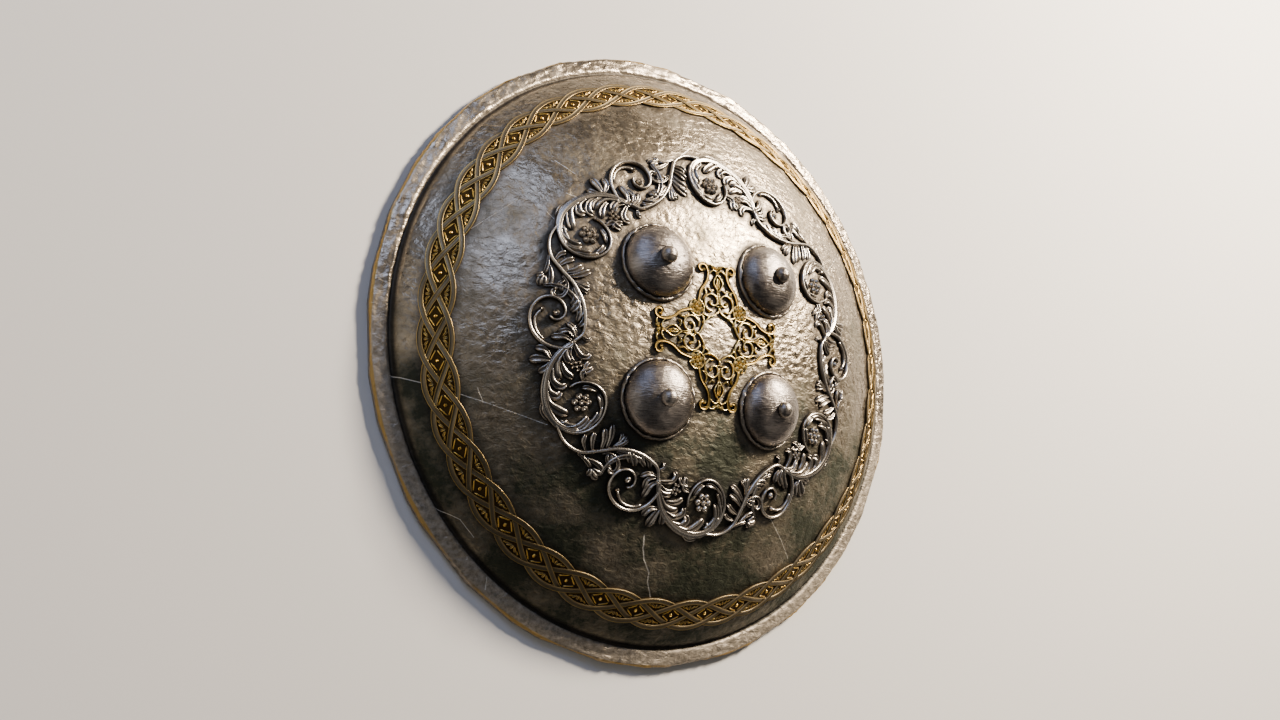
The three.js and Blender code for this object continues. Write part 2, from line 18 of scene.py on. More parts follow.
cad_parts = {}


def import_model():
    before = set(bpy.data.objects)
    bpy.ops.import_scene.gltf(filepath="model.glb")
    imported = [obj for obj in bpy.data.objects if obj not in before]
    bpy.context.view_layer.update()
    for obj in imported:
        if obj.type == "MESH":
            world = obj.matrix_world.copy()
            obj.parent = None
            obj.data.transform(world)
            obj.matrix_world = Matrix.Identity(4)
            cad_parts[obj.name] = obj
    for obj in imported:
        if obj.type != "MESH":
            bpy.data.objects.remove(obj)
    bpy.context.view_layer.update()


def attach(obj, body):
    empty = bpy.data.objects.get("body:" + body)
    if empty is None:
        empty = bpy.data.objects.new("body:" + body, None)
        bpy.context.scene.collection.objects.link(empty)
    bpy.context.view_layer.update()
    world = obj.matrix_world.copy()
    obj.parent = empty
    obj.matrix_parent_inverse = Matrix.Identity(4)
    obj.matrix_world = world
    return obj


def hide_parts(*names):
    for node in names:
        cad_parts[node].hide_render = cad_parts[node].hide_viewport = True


LOG = logging.getLogger("shield")
METRES = 0.001
# How far carved work reaches below its ground, and how far apart pieces stay
SINK = 0.45
GAP = 0.25
Point = tuple[float, float]
Array = np.ndarray


# Shape of the dome, which everything on the shield follows


@dataclass(frozen=True)
class Dome:
    """Face of the plate, whose height falls with the square and the fourth power of the radius."""

    crown: float = 77.2
    foot: float = 12.1
    fullness: float = 0.316
    foot_radius: float = 209.0

    def height(self, radius: Array) -> Array:
        """Height at a radius: crown - drop * ((1 - f) q + f q^2), with q the radius share squared."""
        share = (radius / self.foot_radius) ** 2
        drop = self.crown - self.foot
        return self.crown - drop * ((1 - self.fullness) * share + self.fullness * share**2)

    def slope(self, radius: Array) -> Array:
        """Fall of the face for each millimetre outwards: the derivative of the height formula."""
        share = radius / self.foot_radius
        fall = 2 * (1 - self.fullness) * share + 4 * self.fullness * share**3
        return (self.crown - self.foot) * fall / self.foot_radius

    def normal(self, plan: Array) -> Array:
        """Unit normals above points of the plan: slope outwards and one upwards, brought to length one."""
        radius = np.maximum(np.linalg.norm(plan, axis=-1, keepdims=True), 1e-9)
        outward = plan / radius * self.slope(radius)
        lean = np.concatenate([outward, np.ones_like(radius)], axis=-1)
        return lean / np.linalg.norm(lean, axis=-1, keepdims=True)

    def place(self, plan: Array, height: Array) -> Array:
        """Points that stand a height off the face.

        Args:
            plan: points of the plan, two columns.
            height: their heights along the normal.

        Returns:
            Points in space, three columns: the foot on the face plus the height times the normal.
        """
        foot = np.concatenate([plan, self.height(np.linalg.norm(plan, axis=-1))[..., None]], axis=-1)
        return foot + self.normal(plan) * np.asarray(height)[..., None]


DOME = Dome()


# Numpy surfaces


def ripple(plan: Array, wavelength: float, seed: int, stretch: float = 1.0, heading: float = 0.0) -> Array:
    """Smooth random field with about unit spread.

    It is the sum of cosines of many plane waves whose directions, lengths and phases are drawn at random.

    Args:
        plan: points, two columns.
        wavelength: middle length of the waves.
        seed: start of the random draw.
        stretch: how many times longer the forms are along the heading.
        heading: direction of the stretch in degrees.

    Returns:
        One value for each point.
    """
    draw = np.random.default_rng(seed)
    turn = math.radians(heading)
    along = (plan[..., 0] * math.cos(turn) + plan[..., 1] * math.sin(turn)) / stretch
    across = plan[..., 1] * math.cos(turn) - plan[..., 0] * math.sin(turn)
    waves = 28
    angles = draw.uniform(0, math.tau, waves)
    numbers = math.tau / wavelength * draw.uniform(0.6, 1.6, waves)
    phases = draw.uniform(0, math.tau, waves)
    total = np.zeros(plan.shape[:-1])
    for angle, number, phase in zip(angles, numbers, phases):
        total += np.cos(number * (along * math.cos(angle) + across * math.sin(angle)) + phase)
    return total / math.sqrt(waves / 2)


def grid_quads(rows: int, columns: int, close_rows: bool = False, close_columns: bool = False) -> Array:
    """Faces of a grid of points.

    Args:
        rows: number of rows.
        columns: number of points in a row.
        close_rows: whether the last row joins the first.
        close_columns: whether the last column joins the first.

    Returns:
        Rows of four corners, which face up when rows run forward and columns run from left to right.
    """
    row = np.arange(rows if close_rows else rows - 1)[:, None]
    column = np.arange(columns if close_columns else columns - 1)[None, :]
    after, beside = (row + 1) % rows, (column + 1) % columns
    corners = [row * columns + column, row * columns + beside, after * columns + beside,
               after * columns + column]
    return np.stack(np.broadcast_arrays(*corners), axis=-1).reshape(-1, 4)


def lid_quads(loop: Array) -> Array:
    """Strip of quads that closes a loop of an even number of corners, facing as the loop turns."""
    count = len(loop)
    step = np.arange(count // 2 - 1)
    return loop[np.stack([step, step + 1, count - 2 - step, count - 1 - step], axis=-1)]


def smooth_line(points: Sequence[Point], step: float) -> Array:
    """Smooth line through a few points.

    Between neighbours it is a Hermite cubic whose slope at a point comes from the points on either side.

    Args:
        points: the points, at least two.
        step: distance between samples.

    Returns:
        Samples of the line, two columns.
    """
    knots = np.asarray(points, float)
    at = np.concatenate([[0.0], np.cumsum(np.linalg.norm(np.diff(knots, axis=0), axis=1))])
    slopes = np.gradient(knots, at, axis=0)
    travel = np.linspace(0, at[-1], max(int(at[-1] / step) + 1, 6))
    span = np.clip(np.searchsorted(at, travel, side="right") - 1, 0, len(at) - 2)
    length = (at[span + 1] - at[span])[:, None]
    t = (travel - at[span])[:, None] / length
    return ((2 * t**3 - 3 * t**2 + 1) * knots[span] + (t**3 - 2 * t**2 + t) * length * slopes[span]
            + (3 * t**2 - 2 * t**3) * knots[span + 1] + (t**3 - t**2) * length * slopes[span + 1])


def spiral(centre: Point, start: float, end: float, wide: float, narrow: float,
           count: int = 9) -> list[Point]:
    """Points of a spiral whose radius shrinks by an equal share with each degree that it turns."""
    share = np.linspace(0, 1, count)
    angle = np.radians(start + (end - start) * share)
    radius = wide * (narrow / wide) ** share
    return list(zip(centre[0] + radius * np.cos(angle), centre[1] + radius * np.sin(angle)))


class Section(Enum):
    """How high a carved stroke stands across its width, from its left edge to its right one."""

    ROUND = "a half round, as of a wire or a stem"
    LEAF = "a leaf lobe: a high ridge, a hollow beside it and a lower ridge"
    FLUTED = "three ridges side by side"
    BAND = "a flat band with a raised lip along each edge"

    def profile(self) -> tuple[Array, Array, Array]:
        """Places across the width from 1 to -1, with the share of the height and the tone at each."""
        if self is Section.BAND:
            return (np.array([1, 1, 0.9, 0.74, -0.74, -0.9, -1, -1.0]),
                    np.array([0, 0.82, 1, 0.72, 0.72, 1, 0.82, 0.0]),
                    np.array([0, 0.4, 0.78, 0.42, 0.42, 0.78, 0.4, 0.0]))
        if self is Section.ROUND:
            angle = np.linspace(0, math.pi, 8)
            return np.cos(angle), np.sin(angle) ** 0.8, np.sin(angle) ** 1.3
        across = np.cos(np.linspace(0, math.pi, 12))
        round_off = np.clip(1 - across**2, 0, 1) ** 0.3
        if self is Section.FLUTED:
            ridges = abs(np.cos(1.5 * math.pi * across))
            return across, round_off * (0.62 + 0.38 * ridges), round_off * (0.25 + 0.75 * ridges)
        dip = np.exp(-((across - 0.15) / 0.34) ** 2)
        lean = 1 - 0.22 * (across > 0.15)
        return across, round_off * lean * (1 - 0.62 * dip), round_off * (1 - 0.85 * dip)


@dataclass(frozen=True)
class Relief:
    """Carved work in a flat drawing: points as x, y, height and tone, and faces as rows of four corners."""

    points: Array
    quads: Array

    @staticmethod
    def joined(parts: Sequence["Relief"]) -> "Relief":
        """All the parts as one."""
        starts = np.cumsum([0] + [len(part.points) for part in parts[:-1]])
        return Relief(np.concatenate([part.points for part in parts]),
                      np.concatenate([part.quads + start for part, start in zip(parts, starts)]))

    def mirrored(self) -> "Relief":
        """The work with left and right swapped, its faces turned so that they still face out."""
        return Relief(self.points * np.array([-1.0, 1.0, 1.0, 1.0]), self.quads[:, ::-1])

    def turned(self, degrees: float) -> "Relief":
        """The work turned round the drawing's origin."""
        angle = math.radians(degrees)
        turn = np.array([[math.cos(angle), math.sin(angle)], [-math.sin(angle), math.cos(angle)]])
        return Relief(np.concatenate([self.points[:, :2] @ turn, self.points[:, 2:]], axis=1), self.quads)

    def ringed(self, count: int, length: float, radius: float, turn: float) -> "Relief":
        """Copies of the work end to end round a ring.

        Args:
            count: number of copies in the ring.
            length: drawn length of one copy along x.
            radius: radius of the ring, which y = 0 follows.
            turn: angle in degrees at which the first copy starts.

        Returns:
            The ring: x becomes the angle, and y, scaled as x is, becomes the distance from the middle.
        """
        scale = math.tau * radius / (count * length)
        angle = np.radians(turn) + (self.points[:, 0] / length + np.arange(count)[:, None]) * math.tau / count
        reach = radius + self.points[None, :, 1] * scale
        rest = [np.broadcast_to(self.points[:, column], angle.shape) for column in (2, 3)]
        points = np.stack([reach * np.cos(angle), reach * np.sin(angle), *rest], axis=-1)
        shift = np.arange(count)[:, None, None] * len(self.points)
        return Relief(points.reshape(-1, 4), (self.quads[None] + shift).reshape(-1, 4)[:, ::-1])


def carve(line: Array, widths: Sequence[float], height: float, section: Section,
          lift: float = 0.0) -> Relief:
    """One carved stroke along a line.

    Its width goes evenly between the given widths, and both ends close over about half a width, as the
    square root of one minus the square of the distance left. Its foot reaches below the plate's face.

    Args:
        line: samples of the middle line, two columns.
        widths: widths at even shares of the line.
        height: greatest height.
        section: how the height goes across the width.
        lift: height of the ground that the stroke stands on.

    Returns:
        A closed relief.
    """
    steps = np.linalg.norm(np.diff(line, axis=0), axis=1)
    travel = np.concatenate([[0.0], np.cumsum(steps)])
    share = travel / travel[-1]
    half = np.interp(share, np.linspace(0, 1, len(widths)), widths) / 2
    left_over = np.minimum(travel, travel[-1] - travel) / np.maximum(half * 1.6, 0.3)
    close = np.sqrt(np.clip(1 - (1 - np.clip(left_over, 0, 1)) ** 2, 0.02, 1))
    ahead = np.gradient(line, axis=0)
    ahead /= np.maximum(np.linalg.norm(ahead, axis=1, keepdims=True), 1e-9)
    left = np.stack([-ahead[:, 1], ahead[:, 0]], axis=1)
    across, rise, tone = (np.pad(row, 1, mode="edge") for row in section.profile())
    plan = line[:, None] + left[:, None] * (half * close)[:, None, None] * across[None, :, None]
    belly = np.interp(share, [0, 0.5, 1], [0.8, 1, 0.85])
    tall = lift + height * (close * belly)[:, None] * rise[None]
    tall[:, [0, -1]] = lift - SINK
    rows, columns = tall.shape
    tones = close[:, None] * tone[None]
    points = np.concatenate([plan, tall[..., None], tones[..., None]], axis=-1).reshape(-1, 4)
    first = np.arange(columns)
    lids = [lid_quads(first[::-1]), lid_quads(first + (rows - 1) * columns)]
    return Relief(points, np.concatenate([grid_quads(rows, columns, close_columns=True), *lids]))


def bead(x: float, y: float, radius: float, height: float, lift: float = 0.0, sides: int = 10) -> Relief:
    """A round bead: rings of a half ellipse about its middle, closed on top by a small lid.

    Args:
        x: place of its middle across the drawing.
        y: place of its middle up the drawing.
        radius: its radius.
        height: its height.
        lift: height of the ground that it stands on.
        sides: an even number of sides.

    Returns:
        A closed relief.
    """
    rise = np.radians([0, 0, 28, 52, 72])
    reach = radius * np.cos(rise)
    tall = lift + height * np.sin(rise)
    tall[0] = lift - SINK
    angle = np.arange(sides) * math.tau / sides
    ring = np.stack([np.cos(angle), np.sin(angle)], axis=-1)
    plan = np.array([x, y]) + reach[:, None, None] * ring
    # The bead is coloured lighter towards its top, as a painted highlight
    tone = np.where(tall < lift, 0, 0.35 + 0.65 * np.sin(rise))
    rest = np.broadcast_to(np.stack([tall, tone], axis=-1)[:, None], plan.shape)
    points = np.concatenate([plan, rest], axis=-1)
    loop = np.arange(sides)
    walls = grid_quads(len(rise), sides, close_columns=True)[:, ::-1]
    lids = [lid_quads(loop[::-1]), lid_quads(loop + (len(rise) - 1) * sides)]
    return Relief(points.reshape(-1, 4), np.concatenate([walls, *lids]))


def make_piece(name: str, points: Array, faces: Sequence[Array], stands_for: str,
               tones: dict[str, Array] | None = None) -> bpy.types.Object:
    """Makes one piece of the shield and hangs it on the frame.

    Args:
        name: name of the piece.
        points: points in millimetres, three columns.
        faces: arrays of faces, each with one number of corners.
        stands_for: the solid that the piece replaces.
        tones: values for each point that the finish reads by name.

    Returns:
        The new object, smooth shaded.
    """
    mesh = bpy.data.meshes.new(name)
    mesh.from_pydata((points * METRES).tolist(), [], [face for part in faces for face in part.tolist()])
    mesh.shade_smooth()
    for tone, values in (tones or {}).items():
        mesh.attributes.new(tone, "FLOAT", "POINT").data.foreach_set("value", values.astype(np.float32))
    mesh.validate()
    piece = bpy.data.objects.new(name, mesh)
    bpy.context.scene.collection.objects.link(piece)
    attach(piece, "root")
    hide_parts(stands_for)
    LOG.info("%s: %d points, %d faces", name, len(mesh.vertices), len(mesh.polygons))
    return piece


def relief_piece(name: str, relief: Relief) -> bpy.types.Object:
    """Lays a relief over the dome as a piece whose "rise" tone is 0 in its recesses and 1 on its ridges.

    Args:
        name: name of the piece, and of the solid that it replaces.
        relief: the work, on the plan of the shield.

    Returns:
        The new object.
    """
    points = DOME.place(relief.points[:, :2], relief.points[:, 2] + GAP)
    return make_piece(f"{name}_relief", points, [relief.quads], name, {"rise": relief.points[:, 3]})


# Finishes


def linear(code: str) -> tuple[float, float, float, float]:
    """Linear colour of an sRGB hex code: each channel by the standard's two-part curve."""
    channels = [int(code[i:i + 2], 16) / 255 for i in (1, 3, 5)]
    red, green, blue = (c / 12.92 if c <= 0.04045 else ((c + 0.055) / 1.055) ** 2.4 for c in channels)
    return red, green, blue, 1.0


def add_node(tree: bpy.types.NodeTree, kind: str, values: dict | None = None,
             links: dict | None = None) -> bpy.types.Node:
    """Adds a node with its settings and links.

    Args:
        tree: the tree that gets the node.
        kind: the node's type.
        values: settings by property name, or socket values by socket name or number.
        links: sockets of other nodes by the name or number of the input that they feed.

    Returns:
        The new node.
    """
    node = tree.nodes.new(kind)
    for name, value in (values or {}).items():
        if isinstance(name, str) and name in node.bl_rna.properties:
            setattr(node, name, value)
        else:
            node.inputs[name].default_value = value
    for name, source in (links or {}).items():
        tree.links.new(source, node.inputs[name])
    return node


def new_material(name: str) -> tuple[bpy.types.Material, bpy.types.NodeTree, bpy.types.Node,
                                     bpy.types.NodeSocket]:
    """An empty material with its shader and the object's own coordinates."""
    material = bpy.data.materials.new(name)
    material.use_nodes = True
    tree = material.node_tree
    tree.nodes.clear()
    shader = add_node(tree, "ShaderNodeBsdfPrincipled")
    add_node(tree, "ShaderNodeOutputMaterial", links={"Surface": shader.outputs[0]})
    place = add_node(tree, "ShaderNodeTexCoord").outputs["Object"]
    return material, tree, shader, place


@dataclass(frozen=True)
class AgedSteel:
    """Hand-hammered low-carbon steel, browned by age and rubbed bright on its high spots.

    To the eye it is a warm grey metal with a broken, wrinkled sheen, greenish dirt and bright scratches.
    """

    bright: str = "#aea08b"
    brown: str = "#70634f"
    # Dark colour near the raised work and in the rim groove: part soot, part painted shade
    dirt: str = "#2c2e1f"
    soot_and_shade: str = "#1b1611"
    gilt: str = "#a98848"
    rim: str = "#a69987"
    scratch: str = "#e0d9cd"
    sheen_roughness: float = 0.23
    dirt_roughness: float = 0.56
    patch: float = 46.0
    wrinkle: float = 3.9
    mottle: float = 3.6
    # Real pitting is near 0.1 mm; it is drawn coarser so that it shows
    grain: float = 1.1
    scratches: tuple[tuple[Point, Point, float], ...] = (
        ((-44, -136), (-43, -144), 1.1), ((-43, -144), (-40, -152), 0.9), ((-40, -152), (-34, -160), 0.8),
        ((-34, -160), (-33, -166), 1.0), ((-33, -166), (-26, -178), 0.8),
        ((-210, -38), (-193, -43), 0.6), ((-175, -49), (-120, -68), 0.45), ((-163, -46), (-159, -55), 0.5),
        ((-175, -121), (-161, -128), 0.4), ((-161, -128), (-151, -139), 0.4),
        ((-138, -172), (-138, -164), 0.6),
        ((-108, 90), (-98, 87), 0.6), ((-116, 56), (-110, 34), 0.5), ((-112, 115), (-100, 106), 0.4),
        ((-15, 135), (-6, 142), 0.6), ((-127, 155), (-123, 146), 0.4), ((-140, 96), (-118, 70), 0.3),
        ((-168, 60), (-139, 83), 0.3), ((60, -120), (92, -148), 0.4), ((110, 60), (150, 92), 0.4),
    )

    def material(self) -> bpy.types.Material:
        """Builds the material."""
        material, tree, shader, place = new_material("aged_hammered_steel")
        flat = add_node(tree, "ShaderNodeVectorMath", {"operation": "MULTIPLY", 1: (1, 1, 0)},
                        {0: place}).outputs[0]
        radius = add_node(tree, "ShaderNodeVectorMath", {"operation": "LENGTH"}, {0: flat}).outputs["Value"]
        patches = add_node(tree, "ShaderNodeTexNoise",
                           {"Scale": 1000 / self.patch, "Detail": 8, "Roughness": 0.62},
                           {"Vector": place}).outputs[0]
        stretch = add_node(tree, "ShaderNodeMapping",
                           {"Rotation": (0, 0, math.radians(-38)), "Scale": (0.62, 1, 1)},
                           {"Vector": place}).outputs[0]
        wrinkles = add_node(tree, "ShaderNodeTexNoise", {"Scale": 1000 / self.wrinkle, "Detail": 4,
                            "Roughness": 0.55, "Distortion": 0.6}, {"Vector": stretch}).outputs[0]
        specks = add_node(tree, "ShaderNodeTexNoise",
                          {"Scale": 1000 / self.mottle, "Detail": 6, "Roughness": 0.7},
                          {"Vector": place}).outputs[0]
        # The face is rubbed smoother towards its upper left
        side = add_node(tree, "ShaderNodeVectorMath", {"operation": "DOT_PRODUCT", 1: (-0.8, 0.6, 0)},
                        {0: place}).outputs["Value"]
        lively = add_node(tree, "ShaderNodeMapRange", {1: 0.03, 2: 0.13, 3: 1.0, 4: 0.58},
                          {0: side}).outputs[0]
        mottle = add_node(tree, "ShaderNodeMix", {2: 0.5}, {0: lively, 3: specks}).outputs[0]
        grain = add_node(tree, "ShaderNodeTexNoise", {"Scale": 1000 / self.grain, "Detail": 3},
                         {"Vector": place}).outputs[0]
        front = add_node(tree, "ShaderNodeAttribute", {"attribute_name": "front"}).outputs["Fac"]
        # The face gets darker and greener towards the bottom, where y falls below the middle
        _, y, height = add_node(tree, "ShaderNodeSeparateXYZ", links={0: place}).outputs
        low = add_node(tree, "ShaderNodeMapRange", {1: 0.03, 2: -0.1, 3: 0.0, 4: 0.26}, {0: y}).outputs[0]
        patches_and_lower_part = add_node(tree, "ShaderNodeMath", {"operation": "MULTIPLY_ADD"},
                          {0: low, 1: front, 2: patches}).outputs[0]
        mottled = add_node(tree, "ShaderNodeMath", {"operation": "MULTIPLY_ADD", 1: 0.4},
                           {0: mottle, 2: patches_and_lower_part})
        dirty = add_node(tree, "ShaderNodeMapRange", {1: 0.68, 2: 1.0}, {0: mottled.outputs[0]}).outputs[0]
        browned = add_node(tree, "ShaderNodeMapRange", {1: 0.34, 2: 0.64}, {0: mottle}).outputs[0]
        ground = add_node(tree, "ShaderNodeMix",
                          {"data_type": "RGBA", 6: linear(self.brown), 7: linear(self.bright)},
                          {0: browned}).outputs[2]
        stained = add_node(tree, "ShaderNodeMix", {"data_type": "RGBA", 7: linear(self.dirt)},
                           {0: dirty, 6: ground}).outputs[2]
        # Painted shade mixed with real soot: darker next to the garland, cross, bosses and border, and in the
        # groove under the rim
        soot_and_shade = add_node(tree, "ShaderNodeAttribute", {"attribute_name": "soot_and_shade"}).outputs["Fac"]
        sooted_and_shaded = add_node(tree, "ShaderNodeMath", {"operation": "MULTIPLY_ADD", 1: 0.5, "use_clamp": True},
                          {0: patches, 2: soot_and_shade})
        soot_and_shade_share = add_node(tree, "ShaderNodeMapRange", {1: 0.32, 2: 1.15},
                              {0: sooted_and_shaded.outputs[0]}).outputs[0]
        darkened = add_node(tree, "ShaderNodeMix", {"data_type": "RGBA", 7: linear(self.soot_and_shade)},
                            {0: soot_and_shade_share, 6: stained}).outputs[2]
        # A gilt line along the rim's upper edge, worn through in places
        line = add_node(tree, "ShaderNodeMapRange", {1: 0.2228, 2: 0.2234}, {0: radius}).outputs[0]
        upper = add_node(tree, "ShaderNodeMapRange", {1: 0.0036, 2: 0.0042}, {0: height}).outputs[0]
        worn = add_node(tree, "ShaderNodeMapRange", {1: 0.4, 2: 0.52, 4: 0.9}, {0: patches}).outputs[0]
        kept = add_node(tree, "ShaderNodeMath", {"operation": "MULTIPLY"}, {0: line, 1: worn}).outputs[0]
        lined = add_node(tree, "ShaderNodeMath", {"operation": "MULTIPLY"}, {0: kept, 1: upper}).outputs[0]
        band = add_node(tree, "ShaderNodeMapRange", {1: 0.2125, 2: 0.2135}, {0: radius}).outputs[0]
        rubbed = add_node(tree, "ShaderNodeMapRange", {1: 0.34, 2: 0.62, 3: 0.35, 4: 1},
                          {0: mottle}).outputs[0]
        worked = add_node(tree, "ShaderNodeMath", {"operation": "MULTIPLY"}, {0: band, 1: rubbed}).outputs[0]
        rimmed = add_node(tree, "ShaderNodeMix", {"data_type": "RGBA", 7: linear(self.rim)},
                          {0: worked, 6: darkened}).outputs[2]
        edged = add_node(tree, "ShaderNodeMix", {"data_type": "RGBA", 7: linear(self.gilt)},
                         {0: lined, 6: rimmed}).outputs[2]
        cut = add_node(tree, "ShaderNodeMath", {"operation": "MULTIPLY"},
                       {0: self.scratch_mask(tree, flat), 1: front}).outputs[0]
        colour = add_node(tree, "ShaderNodeMix", {"data_type": "RGBA", 7: linear(self.scratch)},
                          {0: cut, 6: edged}).outputs[2]
        tree.links.new(colour, shader.inputs["Base Color"])
        dull = add_node(tree, "ShaderNodeMath", {"operation": "MAXIMUM"},
                        {0: dirty, 1: soot_and_shade_share}).outputs[0]
        # Dirt and rust lie over the metal as a skin that is not metal itself; the painted shade near the
        # raised work is made less metallic with them
        bare = add_node(tree, "ShaderNodeMapRange", {3: 0.97, 4: 0.6}, {0: dull}).outputs[0]
        tree.links.new(bare, shader.inputs["Metallic"])
        rough = add_node(tree, "ShaderNodeMapRange", {3: self.sheen_roughness, 4: self.dirt_roughness},
                         {0: dull})
        speckle = add_node(tree, "ShaderNodeMath", {"operation": "MULTIPLY_ADD", 1: 0.1},
                           {0: mottle, 2: rough.outputs[0]})
        tree.links.new(speckle.outputs[0], shader.inputs["Roughness"])
        bump = add_node(tree, "ShaderNodeBump", {"Distance": 0.0012},
                        {"Height": wrinkles, "Strength": lively})
        fine = add_node(tree, "ShaderNodeBump", {"Strength": 0.25, "Distance": 0.00015},
                        {"Height": grain, "Normal": bump.outputs[0]})
        groove = add_node(tree, "ShaderNodeBump", {"Strength": 0.5, "Distance": 0.0002, "invert": True},
                          {"Height": cut, "Normal": fine.outputs[0]})
        tree.links.new(groove.outputs[0], shader.inputs["Normal"])
        return material

    def scratch_mask(self, tree: bpy.types.NodeTree, flat: bpy.types.NodeSocket) -> bpy.types.NodeSocket:
        """Socket that is 1 on the scratches: for each, the distance to its segment against its width.

        Args:
            tree: the material's tree.
            flat: socket with the place on the plan.

        Returns:
            The largest of the scratches' masks.
        """
        whole = None
        for start, end, width in self.scratches:
            a, b = (Vector((*p, 0)) * METRES for p in (start, end))
            away = add_node(tree, "ShaderNodeVectorMath", {"operation": "SUBTRACT", 1: a},
                            {0: flat}).outputs[0]
            along = add_node(tree, "ShaderNodeVectorMath",
                             {"operation": "DOT_PRODUCT", 1: (b - a) / (b - a).length_squared},
                             {0: away}).outputs["Value"]
            share = add_node(tree, "ShaderNodeMath", {"operation": "ADD", 1: 0.0, "use_clamp": True},
                             {0: along}).outputs[0]
            foot = add_node(tree, "ShaderNodeVectorMath", {"operation": "SCALE", 0: b - a},
                            {"Scale": share}).outputs[0]
            gap = add_node(tree, "ShaderNodeVectorMath", {"operation": "DISTANCE"},
                           {0: away, 1: foot}).outputs["Value"]
            mask = add_node(tree, "ShaderNodeMapRange", {1: width * METRES * 0.7, 2: 0.0, 4: 0.8},
                            {0: gap}).outputs[0]
            whole = mask if whole is None else add_node(tree, "ShaderNodeMath", {"operation": "MAXIMUM"},
                                                        {0: whole, 1: mask}).outputs[0]
        return whole


@dataclass(frozen=True)
class CarvedMetal:
    """Cast and chased metal, dark in its recesses and light on its ridges: part patina and polish, part
    painted shade and painted highlight.

    The "rise" tone of the piece says how high a point stands, so that the dark colour, with its painted
    shade, stays low and the light colour, with its painted highlight, stays high.
    """

    name: str
    ridge: str
    middle: str
    recess: str
    roughness: float
    wear: float
    blotch: float = 14.0
    # Casting pits are drawn coarser than the real 0.2 mm so that they show
    pit: float = 0.9

    def material(self) -> bpy.types.Material:
        """Builds the material."""
        material, tree, shader, place = new_material(self.name)
        rise = add_node(tree, "ShaderNodeAttribute", {"attribute_name": "rise"}).outputs["Fac"]
        blotch = add_node(tree, "ShaderNodeTexNoise",
                          {"Scale": 1000 / self.blotch, "Detail": 6, "Roughness": 0.6},
                          {"Vector": place})
        grain = add_node(tree, "ShaderNodeTexNoise", {"Scale": 1000 / self.pit, "Detail": 3},
                         {"Vector": place}).outputs[0]
        rubbed = add_node(tree, "ShaderNodeMath", {"operation": "MULTIPLY_ADD", 1: self.wear},
                          {0: blotch.outputs[0], 2: rise}).outputs[0]
        # The ramp paints shade in recesses and on the sides of strokes and a highlight on ridges, over real
        # patina and polish
        ramp = add_node(tree, "ShaderNodeValToRGB", links={0: rubbed})
        stops = [(0.2, self.recess), (0.62, self.middle), (1.0, self.ridge)]
        ramp.color_ramp.elements.new(0.6)
        for element, (at, code) in zip(ramp.color_ramp.elements, stops):
            element.position = at
            element.color = linear(code)
        tree.links.new(ramp.outputs[0], shader.inputs["Base Color"])
        shader.inputs["Metallic"].default_value = 1.0
        dull = add_node(tree, "ShaderNodeMapRange",
                        {1: 0.2, 2: 0.8, 3: self.roughness + 0.3, 4: self.roughness},
                        {0: rubbed}).outputs[0]
        rough = add_node(tree, "ShaderNodeMath", {"operation": "MULTIPLY_ADD", 1: 0.12}, {0: grain, 2: dull})
        tree.links.new(rough.outputs[0], shader.inputs["Roughness"])
        pits = add_node(tree, "ShaderNodeBump", {"Strength": 0.3, "Distance": 0.0002}, {"Height": grain})
        soft = add_node(tree, "ShaderNodeBump", {"Strength": 0.3, "Distance": 0.0006},
                        {"Height": blotch.outputs[0], "Normal": pits.outputs[0]})
        tree.links.new(soft.outputs[0], shader.inputs["Normal"])
        return material


